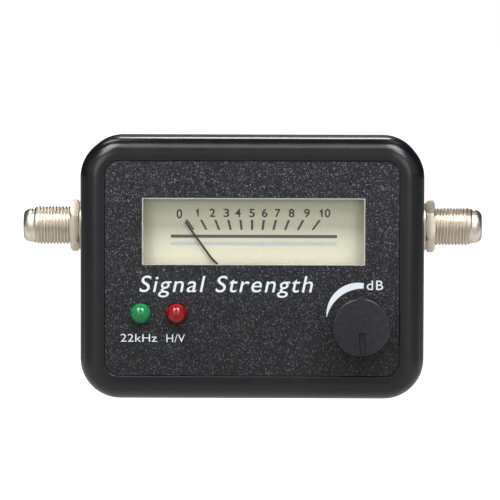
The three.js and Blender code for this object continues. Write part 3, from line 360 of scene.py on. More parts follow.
def tube(shell, rings):
    """An open skin along rings of points, added to a shell. Returns its rows."""
    rows = [[shell.verts.new(point) for point in ring] for ring in rings]
    for low, high in zip(rows, rows[1:]):
        band(shell, low, high)
    return rows


def loft(rings, closed=False):
    """A skin through rings of points, closed by a cap at each end or by joining the ends."""
    shell = bmesh.new()
    rows = tube(shell, rings)
    if closed:
        band(shell, rows[-1], rows[0])
        return shell
    for row in (rows[0], rows[-1]):
        if len(row) > 1:
            shell.faces.new(row)
    return shell


def turned_point(radius, angle, along, place, axis, hand):
    if axis == "Y":
        offset = Vector((radius * math.cos(angle), along, radius * math.sin(angle)))
    else:
        offset = Vector((hand * along, radius * math.cos(angle), radius * math.sin(angle)))
    return Vector(place) + offset


def circles(profile, place, axis, sides=TURN_STEPS, hand=1):
    """A ring of points for each (radius, distance) pair, a single point where there is no radius."""
    return [
        [
            turned_point(radius, 2 * math.pi * side / sides, along, place, axis, hand)
            for side in range(sides if radius > 0.0 else 1)
        ]
        for radius, along in profile
    ]


def turned(profile, place=(0.0, 0.0, 0.0), sides=TURN_STEPS):
    """A turned shape from (radius, distance) pairs along Y through place."""
    return loft(circles(profile, place, "Y", sides))


def turned_sideways(profile, hand, sides=TURN_STEPS, closed=False):
    """A turned shape round the connectors' axis, to the left for hand -1 and to the right for 1."""
    return loft(circles(profile, CONNECTOR_PLACE, "X", sides, hand), closed)


def box_shell(x, y, z):
    shell = bmesh.new()
    bmesh.ops.create_cube(shell, size=1.0)
    for vert in shell.verts:
        vert.co.x = x[0] if vert.co.x < 0 else x[1]
        vert.co.y = y[0] if vert.co.y < 0 else y[1]
        vert.co.z = z[0] if vert.co.z < 0 else z[1]
    return shell


def prism(outline, back, front):
    """An upright outline of (x, z) given a thickness along Y."""
    shell = loft([[(x, y, z) for x, z in outline] for y in (back, front)])
    bmesh.ops.triangulate(shell, faces=shell.faces)
    return shell


def raw_object(name, shell):
    """A bare object from a shell in millimetres, in metres, with its faces outwards."""
    bmesh.ops.remove_doubles(shell, verts=shell.verts, dist=0.0005)
    bmesh.ops.recalc_face_normals(shell, faces=shell.faces)
    bmesh.ops.scale(shell, vec=(MM, MM, MM), verts=shell.verts)
    mesh = bpy.data.meshes.new(name)
    shell.to_mesh(mesh)
    shell.free()
    made = bpy.data.objects.new(name, mesh)
    bpy.context.scene.collection.objects.link(made)
    return made


def settle(made):
    """Bakes an object's modifiers into its mesh."""
    bpy.context.view_layer.update()
    graph = bpy.context.evaluated_depsgraph_get()
    baked = bpy.data.meshes.new_from_object(made.evaluated_get(graph))
    made.modifiers.clear()
    old = made.data
    made.data = baked
    bpy.data.meshes.remove(old)
    baked.name = made.name


def carve(made, cutters, operation="DIFFERENCE"):
    """Cuts an object with shells, or joins or intersects them with it."""
    tools = []
    for number, shell in enumerate(cutters):
        tool = raw_object(f"{made.name}_tool_{number}", shell)
        change = made.modifiers.new(f"carve_{number}", "BOOLEAN")
        change.operation = operation
        change.solver = "EXACT"
        change.object = tool
        tools.append(tool)
    settle(made)
    for tool in tools:
        mesh = tool.data
        bpy.data.objects.remove(tool)
        bpy.data.meshes.remove(mesh)


def soften(made, width, segments=2, angle=40.0, material=-1):
    """Breaks an object's sharp edges, the new faces in another of its materials where one is given."""
    bevel = made.modifiers.new("edge_break", "BEVEL")
    bevel.width = width * MM
    bevel.segments = segments
    bevel.limit_method = "ANGLE"
    bevel.angle_limit = math.radians(angle)
    bevel.material = material
    settle(made)


def smooth(made, angle=SMOOTH_ANGLE):
    mesh = made.data
    mesh.polygons.foreach_set("use_smooth", [True] * len(mesh.polygons))
    mesh.set_sharp_from_angle(angle=math.radians(angle))
    mesh.update()


def fit_out(made, slot, *nodes, body="meter_body", finish=None, angle=SMOOTH_ANGLE):
    """Gives a piece its shading, finish and body, and hides the solids that it stands for."""
    smooth(made, angle)
    made.data.materials.clear()
    made.data.materials.append(FINISHES[finish or slot])
    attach(made, body)
    if nodes:
        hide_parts(*nodes)


def piece(name, shell, slot, *nodes, **look):
    """A finished piece straight from its shell."""
    fit_out(raw_object(name, shell), slot, *nodes, **look)


# Node helpers


def feed(tree, socket, value):
    """Joins an input to another node's socket, or gives it a plain value."""
    if isinstance(value, bpy.types.NodeSocket):
        tree.links.new(value, socket)
    else:
        socket.default_value = value


def wired(tree, kind, **inputs):
    """A new node with its inputs fed. Returns its outputs."""
    node = tree.nodes.new(kind)
    for name, value in inputs.items():
        feed(tree, node.inputs[name.replace("_", " ")], value)
    return node.outputs


def value_node(tree, operation, *terms):
    """A sum, product or the like of sockets or numbers."""
    node = tree.nodes.new("ShaderNodeMath")
    node.operation = operation
    for socket, term in zip(node.inputs, terms):
        feed(tree, socket, term)
    return node.outputs["Value"]


def range_node(tree, source, start, end, low=0.0, high=1.0):
    """A value that runs from low to high while its source runs from start to end."""
    return wired(
        tree, "ShaderNodeMapRange", Value=source, From_Min=start, From_Max=end, To_Min=low, To_Max=high
    )["Result"]


def ramp_node(tree, source, stops):
    """A colour for each value of a source, from (position, colour) pairs."""
    node = tree.nodes.new("ShaderNodeValToRGB")
    elements = node.color_ramp.elements
    for number, (position, colour) in enumerate(stops):
        element = elements[number] if number < 2 else elements.new(position)
        element.position = position
        element.color = (*colour, 1.0)
    tree.links.new(source, node.inputs["Fac"])
    return node.outputs["Color"]


# Finishes


class Recipe:
    """A material's node tree under way."""

    def __init__(self, name):
        self.material = bpy.data.materials.new(name)
        self.material.use_nodes = True
        self.tree = self.material.node_tree
        self.shader = self.tree.nodes["Principled BSDF"]
        self.place = self.tree.nodes.new("ShaderNodeTexCoord").outputs["Object"]

    def set(self, **values):
        for name, value in values.items():
            self.shader.inputs[name.replace("_", " ")].default_value = value

    def noise(self, grain, detail=3.0, roughness=0.5, stretch=None):
        """Noise with features about grain millimetres wide."""
        place = self.place
        if stretch is not None:
            place = wired(self.tree, "ShaderNodeMapping", Vector=place, Scale=stretch)["Vector"]
        return wired(
            self.tree, "ShaderNodeTexNoise",
            Vector=place, Scale=1.0 / (grain * MM), Detail=detail, Roughness=roughness,
        )["Fac"]

    def cells(self, grain):
        """A chance value for each grain."""
        return wired(
            self.tree, "ShaderNodeTexVoronoi", Vector=self.place, Scale=1.0 / (grain * MM)
        )["Color"]

    def height(self):
        """Object coordinate upwards, in metres."""
        return wired(self.tree, "ShaderNodeSeparateXYZ", Vector=self.place)["Z"]

    def ramp(self, source, stops):
        return ramp_node(self.tree, source, stops)

    def multiply(self, colour, factor):
        node = self.tree.nodes.new("ShaderNodeMix")
        node.data_type = "RGBA"
        node.blend_type = "MULTIPLY"
        for name, value in (("Factor", 1.0), ("A", colour), ("B", factor)):
            feed(self.tree, node.inputs[name], value)
        return node.outputs["Result"]

    def colour(self, source):
        self.tree.links.new(source, self.shader.inputs["Base Color"])

    def paint(self, source, dark, light, start=0.3, end=0.7):
        """Base colour between two tones."""
        self.colour(self.ramp(source, [(start, dark), (end, light)]))

    def gloss(self, source, low, high):
        """Roughness between two values."""
        level = range_node(self.tree, source, 0.3, 0.7, low, high)
        self.tree.links.new(level, self.shader.inputs["Roughness"])

    def bump(self, source, depth):
        """Relief of a depth in millimetres."""
        relief = wired(self.tree, "ShaderNodeBump", Height=source, Strength=1.0, Distance=depth * MM)
        self.tree.links.new(relief["Normal"], self.shader.inputs["Normal"])


def mottled(name, dark, light, grain=2.0, rough=(0.4, 0.5), metal=0.0, stretch=None, relief=0.004):
    """A moulded, plated or painted surface: two close colours, uneven gloss and a faint relief."""
    recipe = Recipe(name)
    recipe.paint(recipe.noise(grain, stretch=stretch), dark, light, 0.35, 0.65)
    recipe.gloss(recipe.noise(grain * 0.4, stretch=stretch), *rough)
    recipe.bump(recipe.noise(grain * 0.25, stretch=stretch), relief)
    recipe.set(Metallic=metal)
    return recipe.material


def case_plastic():
    """Glossy black ABS with the faint waviness of a moulding and a little dust haze."""
    recipe = Recipe("case_gloss_black")
    haze = recipe.noise(9.0, detail=4.0)
    recipe.paint(haze, (0.0045, 0.0049, 0.0066), (0.0068, 0.0072, 0.0090))
    recipe.gloss(recipe.noise(5.0, detail=2.0), 0.20, 0.25)
    recipe.bump(recipe.noise(14.0, detail=1.0), 0.004)
    recipe.set(Specular_IOR_Level=0.49)
    return recipe.material


def label_sheet():
    """Pebbled charcoal sheet: raised grains with pale flecks between darker pits, and painted light that
    makes it darker towards its foot and lighter towards its top.
    """
    recipe = Recipe("label_charcoal")
    ground = recipe.ramp(recipe.cells(0.228), [
        (0.0, (0.0012, 0.0013, 0.0026)),
        (0.40, (0.0054, 0.0057, 0.0082)),
        (0.75, (0.0330, 0.0338, 0.0400)),
        (1.0, (0.2400, 0.2420, 0.2610)),
    ])
    shade = recipe.ramp(recipe.noise(6.0), [(0.3, (0.86, 0.86, 0.87)), (0.7, (1.0, 1.0, 1.0))])
    # Painted light: the sheet darker towards its foot and lighter towards its top, as light from above
    # falls on it.
    rise = range_node(recipe.tree, recipe.height(), 0.006, 0.057, 0.60, 1.15)
    recipe.colour(recipe.multiply(recipe.multiply(ground, shade), rise))
    recipe.gloss(recipe.noise(0.26, detail=1.0), 0.42, 0.62)
    recipe.bump(recipe.noise(0.25, detail=1.0), 0.05)
    recipe.set(Specular_IOR_Level=0.30)
    return recipe.material


def dial_card():
    """Cream card with painted shade: darker in a broad band through its middle and towards its foot, and
    lightest at its head.
    """
    recipe = Recipe("dial_cream")
    fibre = recipe.noise(1.2, detail=5.0)
    paper = recipe.ramp(fibre, [(0.3, (0.93, 0.91, 0.70)), (0.7, (0.98, 0.96, 0.75))])
    rise = range_node(recipe.tree, recipe.height(), 0.0325, 0.0485)
    # Painted shade by height, in place of the shading that the window's surround and the falling light give
    # the card.
    shade = recipe.ramp(rise, [
        (0.0, (0.79, 0.79, 0.79)),
        (0.15, (0.82, 0.82, 0.82)),
        (0.36, (0.74, 0.74, 0.73)),
        (0.57, (0.61, 0.61, 0.60)),
        (0.78, (0.87, 0.87, 0.85)),
        (1.0, (1.0, 1.0, 0.98)),
    ])
    recipe.colour(recipe.multiply(paper, shade))
    recipe.gloss(fibre, 0.55, 0.7)
    recipe.bump(recipe.noise(0.15), 0.004)
    return recipe.material


def window_plastic():
    """Clear styrene: a thin grey tint and gloss with faint moulding ripples."""
    recipe = Recipe("clear_window")
    recipe.paint(recipe.noise(12.0), (0.20, 0.21, 0.19), (0.26, 0.27, 0.25))
    recipe.gloss(recipe.noise(4.0), 0.03, 0.07)
    recipe.bump(recipe.noise(6.0, detail=1.0), 0.004)
    recipe.set(Alpha=0.035, IOR=1.59)
    return recipe.material


def rim_painted_highlight():
    """The clear plastic seen along its edge, coloured milky and pale as a painted highlight."""
    recipe = Recipe("clear_edge")
    recipe.paint(recipe.noise(3.0), (0.52, 0.52, 0.46), (0.64, 0.64, 0.57))
    recipe.gloss(recipe.noise(1.0), 0.15, 0.3)
    recipe.bump(recipe.noise(2.0, detail=1.0), 0.003)
    recipe.set(Alpha=0.8, IOR=1.59)
    return recipe.material


def lamp_epoxy(name, deep, bright):
    """Tinted diffusing epoxy with a polished dome."""
    recipe = Recipe(name)
    recipe.paint(recipe.noise(1.6, detail=2.0), deep, bright)
    recipe.gloss(recipe.noise(0.9), 0.06, 0.10)
    recipe.bump(recipe.noise(0.9, detail=1.0), 0.0015)
    recipe.set(
        Subsurface_Weight=0.9, Subsurface_Scale=2.4 * MM, Subsurface_Radius=(1.0, 1.0, 1.0), IOR=1.54
    )
    return recipe.material


def knob_plastic():
    """Satin black plastic with a fine moulded grain and handling marks."""
    recipe = Recipe("knob_charcoal")
    marks = recipe.noise(1.5, detail=6.0, roughness=0.65)
    recipe.paint(marks, (0.0095, 0.0102, 0.0132), (0.0175, 0.0184, 0.0222))
    recipe.gloss(marks, 0.16, 0.27)
    recipe.bump(recipe.noise(0.3), 0.006)
    return recipe.material


def nickel_plate(name, dark, light, smoothest, roughest):
    """Warm nickel plate with turning marks round the connector's axis."""
    recipe = Recipe(name)
    recipe.paint(recipe.noise(1.4, detail=5.0), dark, light)
    recipe.gloss(recipe.noise(0.5, stretch=(3.0, 0.5, 0.5)), smoothest, roughest)
    recipe.bump(recipe.noise(0.35, stretch=(3.0, 0.4, 0.4)), 0.002)
    recipe.set(Metallic=1.0)
    return recipe.material


# Plain finishes: dark and light tone, grain, range of roughness, metal, stretch of grain and relief
PLAIN_FINISHES = {
    "meter_black": ((0.012, 0.012, 0.013), (0.020, 0.020, 0.021)),
    "needle_black": ((0.005, 0.006, 0.006), (0.010, 0.011, 0.011), 0.5, (0.5, 0.7)),
    "tinned_wire": ((0.55, 0.56, 0.57), (0.68, 0.69, 0.70), 0.4, (0.25, 0.4), 1.0),
    "movement_steel": ((0.38, 0.39, 0.40), (0.48, 0.49, 0.50), 1.0, (0.3, 0.45), 1.0),
    "magnet_grey": ((0.10, 0.10, 0.11), (0.15, 0.15, 0.16), 0.8, (0.5, 0.65), 0.8),
    "bronze": ((0.42, 0.25, 0.10), (0.52, 0.33, 0.15), 0.6, (0.3, 0.45), 1.0),
    "jewel_red": ((0.20, 0.01, 0.03), (0.30, 0.02, 0.06), 0.5, (0.08, 0.15)),
    "coil_copper": ((0.36, 0.11, 0.035), (0.50, 0.18, 0.06), 0.2, (0.3, 0.5), 0.7, (1.0, 6.0, 1.0)),
    "pot_steel": ((0.46, 0.47, 0.48), (0.56, 0.57, 0.58), 1.2, (0.28, 0.42), 1.0),
    "wiper_nylon": ((0.60, 0.55, 0.42), (0.70, 0.65, 0.50), 1.0),
    "track_brown": ((0.09, 0.04, 0.02), (0.14, 0.07, 0.035), 0.7, (0.6, 0.75)),
    "board_green": ((0.020, 0.085, 0.040), (0.035, 0.130, 0.060), 1.1, (0.3, 0.5)),
    "shield_tin": ((0.50, 0.51, 0.52), (0.62, 0.63, 0.64), 2.5, (0.22, 0.4), 1.0),
    "chip_black": ((0.012, 0.012, 0.013), (0.022, 0.022, 0.023), 0.3, (0.55, 0.7)),
    "capacitor_blue": ((0.018, 0.045, 0.15), (0.030, 0.070, 0.20), 1.0, (0.25, 0.4)),
    "buzzer_black": ((0.010, 0.010, 0.011), (0.018, 0.018, 0.019)),
    "insulator_white": ((0.72, 0.71, 0.67), (0.80, 0.79, 0.76), 0.8, (0.4, 0.55)),
    "contact_brass": ((0.60, 0.42, 0.14), (0.70, 0.52, 0.22), 0.5, (0.2, 0.35), 1.0),
    "screw_dark": ((0.045, 0.045, 0.048), (0.075, 0.075, 0.080), 0.7, (0.3, 0.45), 0.9),
    # Mottled from dark to pale: the pale parts are a painted highlight along the label's cut edge.
    "label_cut_edge": ((0.02, 0.02, 0.022), (0.55, 0.55, 0.56), 1.3, (0.25, 0.45)),
    "white_ink": ((0.65, 0.705, 0.76), (0.705, 0.76, 0.815), 0.5, (0.5, 0.65), 0.0, None, 0.01),
    "dial_black_ink": ((0.035, 0.040, 0.046), (0.060, 0.065, 0.072), 0.35, (0.5, 0.65)),
    "dial_grey_ink": ((0.068, 0.077, 0.090), (0.088, 0.096, 0.110), 0.5, (0.5, 0.65)),
    "dial_pale_band": ((0.53, 0.545, 0.56), (0.58, 0.595, 0.605), 0.6, (0.5, 0.65)),
}

FINISHES = {name: mottled(name, *look) for name, look in PLAIN_FINISHES.items()}
FINISHES.update({
    "case_gloss_black": case_plastic(),
    "label_charcoal": label_sheet(),
    "clear_window": window_plastic(),
    "clear_edge": rim_painted_highlight(),
    "dial_cream": dial_card(),
    "lamp_green": lamp_epoxy("lamp_green", (0.007, 0.20, 0.062), (0.012, 0.255, 0.083)),
    "lamp_red": lamp_epoxy("lamp_red", (0.245, 0.0022, 0.004), (0.305, 0.004, 0.0065)),
    "knob_charcoal": knob_plastic(),
    "nickel_warm": nickel_plate("nickel_warm", (0.69, 0.63, 0.545), (0.77, 0.705, 0.615), 0.28, 0.40),
    "nickel_nut": nickel_plate("nickel_nut", (0.74, 0.65, 0.535), (0.82, 0.725, 0.60), 0.36, 0.50),
})


# Camera, lights and floor


def direction(azimuth, elevation):
    """Unit vector from the meter. Azimuth 0 is in front, 90 to the right."""
    turn, rise = math.radians(azimuth), math.radians(elevation)
    return Vector((
        math.sin(turn) * math.cos(rise),
        -math.cos(turn) * math.cos(rise),
        math.sin(rise),
    ))


def photo_camera():
    """A long lens a metre away, a little above the case and turned level with the photograph."""
    aim = Vector((-0.50, -13.2, 36.1)) * MM
    away = direction(azimuth=0.5, elevation=3.6)
    roll = math.radians(0.15)
    lens = bpy.data.cameras.new("photo_camera")
    lens.sensor_width = 36.0
    lens.lens = 300.6
    lens.clip_start = 0.05
    lens.clip_end = 50.0
    camera = bpy.data.objects.new("photo_camera", lens)
    camera.location = aim + away
    facing = (-away).to_track_quat("-Z", "Y").to_matrix().to_4x4()
    camera.rotation_euler = (facing @ Matrix.Rotation(roll, 4, "Z")).to_euler()
    bpy.context.scene.collection.objects.link(camera)
    bpy.context.scene.camera = camera


def soft_box(name, azimuth, elevation, distance, width, height, power):
    """An area light that faces the middle of the case."""
    away = direction(azimuth, elevation)
    light = bpy.data.lights.new(name, "AREA")
    light.shape = "RECTANGLE"
    light.size = width
    light.size_y = height
    light.energy = power
    holder = bpy.data.objects.new(name, light)
    holder.location = Vector((0.0, 0.0, CASE_MIDDLE * MM)) + away * distance
    holder.rotation_euler = (-away).to_track_quat("-Z", "Y").to_euler()
    bpy.context.scene.collection.objects.link(holder)


def levels_node(tree, source, levels):
    """A grey for each value of a source, from (position, level) pairs."""
    return ramp_node(tree, source, [(position, (level, level, level)) for position, level in levels])


def seen_rays(tree, rays):
    """One for rays that come from the camera, straight or through the clear window."""
    return value_node(tree, "MAXIMUM", rays["Is Camera Ray"], rays["Is Transmission Ray"])


def studio_world():
    """White to the camera. To the meter it is a grey room, palest low in front and dark behind."""
    world = bpy.data.worlds.new("studio_world")
    world.use_nodes = True
    tree = world.node_tree
    backdrop = tree.nodes["Background"]
    backdrop.inputs["Strength"].default_value = 1.0
    backdrop.inputs["Color"].default_value = (1.0, 1.0, 1.0, 1.0)
    place = wired(tree, "ShaderNodeTexCoord")["Generated"]
    split = wired(tree, "ShaderNodeSeparateXYZ", Vector=place)
    levels = [((math.sin(math.radians(degrees)) + 1) / 2, level) for degrees, level in ROOM_LEVELS]
    glow = levels_node(tree, range_node(tree, split["Z"], -1.0, 1.0), levels)
    depth = range_node(tree, split["Y"], -0.75, 0.08, 1.0, 0.06)
    room = wired(tree, "ShaderNodeBackground", Color=glow, Strength=depth)
    rays = wired(tree, "ShaderNodeLightPath")
    blend = tree.nodes.new("ShaderNodeMixShader")
    sources = (seen_rays(tree, rays), room["Background"], backdrop.outputs["Background"])
    for socket, source in zip(blend.inputs, sources):
        tree.links.new(source, socket)
    tree.links.new(blend.outputs["Shader"], tree.nodes["World Output"].inputs["Surface"])
    bpy.context.scene.world = world


def floor_material():
    """White to the camera. Metal and gloss see it glow by its distance from the meter."""
    material = bpy.data.materials.new("floor_white")
    material.use_nodes = True
    tree = material.node_tree
    board = tree.nodes["Principled BSDF"]
    board.inputs["Base Color"].default_value = (0.27, 0.27, 0.267, 1.0)
    board.inputs["Roughness"].default_value = 0.9
    board.inputs["Specular IOR Level"].default_value = 0.0
    place = wired(tree, "ShaderNodeTexCoord")["Object"]
    split = wired(tree, "ShaderNodeSeparateXYZ", Vector=place)
    ahead = value_node(tree, "ABSOLUTE", split["Y"])
    across = value_node(tree, "ABSOLUTE", split["X"])
    under_case = levels_node(tree, ahead, FLOOR_LEVELS)
    aside = range_node(tree, across, 0.034, 0.050)
    beyond = range_node(tree, across, 0.062, 0.085, 0.0, 0.7)
    under_ends = range_node(tree, ahead, 0.03, 0.11, 0.52, 0.27)
    share = value_node(tree, "SUBTRACT", aside, beyond)
    level = wired(tree, "ShaderNodeMix", Factor=share, A=under_case, B=under_ends)["Result"]
    rays = wired(tree, "ShaderNodeLightPath")
    seen = seen_rays(tree, rays)
    mirrored = value_node(tree, "MAXIMUM", seen, rays["Is Glossy Ray"])
    near = value_node(tree, "MULTIPLY", seen, 0.9)
    far = value_node(tree, "MULTIPLY", mirrored, level)
    strength = value_node(tree, "ADD", far, near)
    glow = wired(tree, "ShaderNodeEmission", Color=(1.0, 1.0, 1.0, 1.0), Strength=strength)
    both = tree.nodes.new("ShaderNodeAddShader")
    tree.links.new(board.outputs["BSDF"], both.inputs[0])
    tree.links.new(glow["Emission"], both.inputs[1])
    tree.links.new(both.outputs["Shader"], tree.nodes["Material Output"].inputs["Surface"])
    return material


def floor():
    shell = bmesh.new()
    bmesh.ops.create_grid(shell, x_segments=1, y_segments=1, size=6000.0)
    made = raw_object("floor", shell)
    made.data.materials.append(floor_material())


# Case


def front_cover():
    lip_inset = WALL - LIP - LIP_GAP
    lip_floor = SEAM - LIP_HEIGHT - LIP_GAP
    case = [
        (WALL + INNER_ROUND, INNER_FRONT),
        (WALL, INNER_FRONT + INNER_FRONT_SLOPE),
        (WALL, lip_floor),
        (lip_inset, lip_floor),
        (lip_inset, SEAM),
        (SEAM_CHAMFER, SEAM),
        (0.0, SEAM - SEAM_CHAMFER),
        (0.0, SEAM - 2 * SEAM_CHAMFER),
        (0.0, FRONT + FRONT_ROUND + SUPPORT),
    ]
    for angle in quarter_turn(ROUND_STEPS):
        inset = FRONT_ROUND * (1 - math.cos(angle) ** FRONT_FULLNESS)
        case.append((inset, FRONT + FRONT_ROUND * (1 - math.sin(angle) ** FRONT_FULLNESS)))
    recess = []
    for angle in quarter_turn(EDGE_STEPS):
        inset = -RECESS_EDGE * (1 - math.sin(angle))
        recess.append((inset, FRONT + RECESS_EDGE * (1 - math.cos(angle))))
    gutter = RECESS_FLOOR + GUTTER_DEPTH
    recess.append((0.0, gutter))
    ledge = [(LABEL_OVERHANG, gutter), (LABEL_OVERHANG, RECESS_FLOOR)]
    rings = rings_of(CASE_OUTLINE, case)
    rings += rings_of(RECESS_OUTLINE, recess, RECESS_MIDDLE)
    rings += rings_of(LABEL_OUTLINE, ledge, RECESS_MIDDLE)
    made = raw_object("front_shell", loft(rings))
    carve(made, front_openings(INNER_FRONT + OVERRUN) + connector_cutters())
    fit_out(made, "case_gloss_black", "front_cover")


def front_openings(back):
    """Window, lamp holes and bushing hole, cut from in front as far as a depth."""
    ends = (back, FRONT - OVERRUN)
    cutters = [loft([rounded_ring(WINDOW_OUTLINE, y, WINDOW_MIDDLE) for y in ends])]
    for x, z, radius in (
        (GREEN_X, LAMP_Z, LAMP_HOLE), (RED_X, LAMP_Z, LAMP_HOLE), (KNOB_X, KNOB_Z, BUSHING_HOLE)
    ):
        cutters.append(turned([(radius, y) for y in ends], (x, 0.0, z)))
    return cutters


def connector_cutters():
    ends = (CASE_HALF_WIDTH - WALL - OVERRUN, CASE_HALF_WIDTH + OVERRUN)
    return [turned_sideways([(THREAD_HOLE, along) for along in ends], hand) for hand in (-1, 1)]


def back_cover():
    recess = [(-REAR_LABEL_GAP, REAR_LABEL_FRONT), (-REAR_LABEL_GAP, BACK)]
    seam = SEAM + SEAM_GAP
    case = round_off(BACK, BACK_ROUND, -BACK_ROUND, ROUND_STEPS)[::-1] + [
        (0.0, BACK - BACK_ROUND - SUPPORT),
        (0.0, seam + 2 * SEAM_CHAMFER),
        (0.0, seam + SEAM_CHAMFER),
        (SEAM_CHAMFER, seam),
        (WALL - LIP, seam),
        (WALL - LIP, SEAM - LIP_HEIGHT),
        (WALL, SEAM - LIP_HEIGHT),
        (WALL, INNER_BACK - INNER_ROUND),
        (WALL + INNER_ROUND, INNER_BACK),
    ]
    rings = rings_of(REAR_LABEL_OUTLINE, recess) + rings_of(CASE_OUTLINE, case)
    made = raw_object("back_shell", loft(rings))
    posts, bores = [], []
    for x in (-SCREW_X, SCREW_X):
        for z in (SCREW_LOW, SCREW_HIGH):
            place = (x, 0.0, z)
            posts.append(turned([(SCREW_POST, seam), (SCREW_POST, INNER_BACK + OVERRUN)], place))
            bores.append(turned([(COUNTERBORE, SCREW_SEAT), (COUNTERBORE, BACK + OVERRUN)], place))
            bores.append(turned([(SCREW_HOLE, SEAM - OVERRUN), (SCREW_HOLE, BACK)], place))
    carve(made, posts, "UNION")
    carve(made, bores + connector_cutters())
    fit_out(made, "case_gloss_black", "back_cover")


def front_label():
    """The sheet, with its cut edges in a paler finish as a painted highlight where they catch the light."""
    rings = [rounded_ring(LABEL_OUTLINE, y, RECESS_MIDDLE) for y in (RECESS_FLOOR, LABEL_FRONT)]
    made = raw_object("front_label_sheet", loft(rings))
    carve(made, front_openings(RECESS_FLOOR + OVERRUN / 2))
    for finish in ("label_charcoal", "label_cut_edge"):
        made.data.materials.append(FINISHES[finish])
    # The bevelled cut edges take the paler finish, a painted highlight.
    soften(made, LABEL_CUT, segments=1, angle=60.0, material=1)
    smooth(made)
    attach(made, "meter_body")
    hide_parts("front_label")


def rear_label():
    rings = [rounded_ring(REAR_LABEL_OUTLINE, y) for y in (REAR_LABEL_FRONT, REAR_LABEL_BACK)]
    piece("rear_label_sheet", loft(rings), "label_charcoal", "rear_label")


# Printed marks


def lettering(words, weight, slant, spacing):
    """A thin mesh of words, one unit tall to its line."""
    text = bpy.data.curves.new("lettering", "FONT")
    text.body = words
    text.size = 1.0
    text.shear = slant
    text.offset = weight
    text.space_character = spacing
    text.extrude = 0.01
    text.resolution_u = 6
    holder = bpy.data.objects.new("lettering", text)
    bpy.context.scene.collection.objects.link(holder)
    bpy.context.view_layer.update()
    graph = bpy.context.evaluated_depsgraph_get()
    mesh = bpy.data.meshes.new_from_object(holder.evaluated_get(graph))
    bpy.data.objects.remove(holder)
    bpy.data.curves.remove(text)
    return mesh


def extent(mesh, axis):
    """Least and greatest coordinate of a mesh along one axis."""
    places = [vert.co[axis] for vert in mesh.vertices]
    return min(places), max(places)


def printed(front, thickness, words, left, right, foot, cap_height, weight=0.0, slant=0.0, spacing=1.0):
    """Words fitted between two sides, standing on foot, as a shell proud of a face at depth front."""
    mesh = lettering(words, weight, slant, spacing)
    capital = lettering("H", weight, 0.0, spacing)
    low, tall = extent(capital, 1)
    start, end = extent(mesh, 0)
    shell = bmesh.new()
    shell.from_mesh(mesh)
    bpy.data.meshes.remove(capital)
    bpy.data.meshes.remove(mesh)
    rise = cap_height / (tall - low)
    stretch = (right - left) / (end - start)
    for vert in shell.verts:
        x, y, z = vert.co
        vert.co = Vector((
            left + (x - start) * stretch,
            front - thickness / 2 - math.copysign(thickness / 2, z),
            foot + (y - low) * rise,
        ))
    return shell


def join_shells(shells):
    """One shell from several."""
    whole = bmesh.new()
    for shell in shells:
        mesh = bpy.data.meshes.new("part")
        shell.to_mesh(mesh)
        shell.free()
        whole.from_mesh(mesh)
        bpy.data.meshes.remove(mesh)
    return whole


def level_arc():
    """The wedge round the knob, from its thin end at the left to its blunt end at the top."""
    outer_x, outer_z, outer_radius = 25.5, 20.68, 7.65
    inner_x, inner_z, inner_radius = 26.70, 17.97, 8.98
    blunt_x, thin_z = 26.75, 20.1
    steps = 40
    outer_thin = math.pi - math.asin((thin_z - outer_z) / outer_radius)
    outer_blunt = math.acos((blunt_x - outer_x) / outer_radius)
    inner_blunt = math.acos((blunt_x - inner_x) / inner_radius)
    inner_thin = math.pi - math.asin((thin_z - inner_z) / inner_radius)
    outline = []
    for x, z, radius, start, end in (
        (outer_x, outer_z, outer_radius, outer_thin, outer_blunt),
        (inner_x, inner_z, inner_radius, inner_blunt, inner_thin),
    ):
        for step in range(steps + 1):
            angle = start + (end - start) * step / steps
            outline.append((x + radius * math.cos(angle), z + radius * math.sin(angle)))
    return prism(outline, LABEL_FRONT, LABEL_FRONT - LABEL_PRINT_THICKNESS)


def label_print():
    shells = [printed(LABEL_FRONT, LABEL_PRINT_THICKNESS, *words) for words in LABEL_WORDS]
    piece("label_print", join_shells(shells + [level_arc()]), "label_charcoal", finish="white_ink")


def figure_one(right, foot, tall, stroke=0.27):
    """A figure 1 with its flag, whose stem ends at right."""
    left = right - stroke
    outline = [
        (left, foot),
        (right, foot),
        (right, foot + tall),
        (right - stroke * 0.8, foot + tall),
        (left - 0.22, foot + tall * 0.84),
        (left - 0.48, foot + tall * 0.74),
        (left - 0.48, foot + tall * 0.60),
        (left - 0.20, foot + tall * 0.68),
        (left, foot + tall * 0.78),
    ]
    return prism(outline, DIAL_FRONT, DIAL_FRONT - DIAL_PRINT_THICKNESS)


def dial_figures():
    """Figures 0 to 10 in line with their ticks, the 0 a little lower and taller than the others."""
    shells = []
    for figure in range(FIGURES):
        lean = math.radians(FIRST_LEAN + LEAN_STEP * figure)
        middle = PIVOT_X + FIGURE_SHIFT + (FIGURE_LINE - PIVOT_Z) * math.tan(lean)
        foot, tall = (FIGURE_FOOT, FIGURE_HEIGHT) if figure else (ZERO_FOOT, ZERO_HEIGHT)
        if figure == 1:
            shells.append(figure_one(middle + ONE_STEM, foot, tall))
            continue
        if figure == 4:
            middle += FOUR_SHIFT
        left, right = middle - FIGURE_HALF_WIDTH, middle + FIGURE_HALF_WIDTH
        if figure == 10:
            shells.append(figure_one(middle + TEN_STEM, foot, tall))
            left, right = middle + TEN_NOUGHT[0], middle + TEN_NOUGHT[1]
        shells.append(printed(
            DIAL_FRONT, DIAL_PRINT_THICKNESS, str(figure % 10), left, right, foot, tall, FIGURE_WEIGHT
        ))
    piece("dial_figures", join_shells(shells), "needle_black", finish="dial_black_ink")


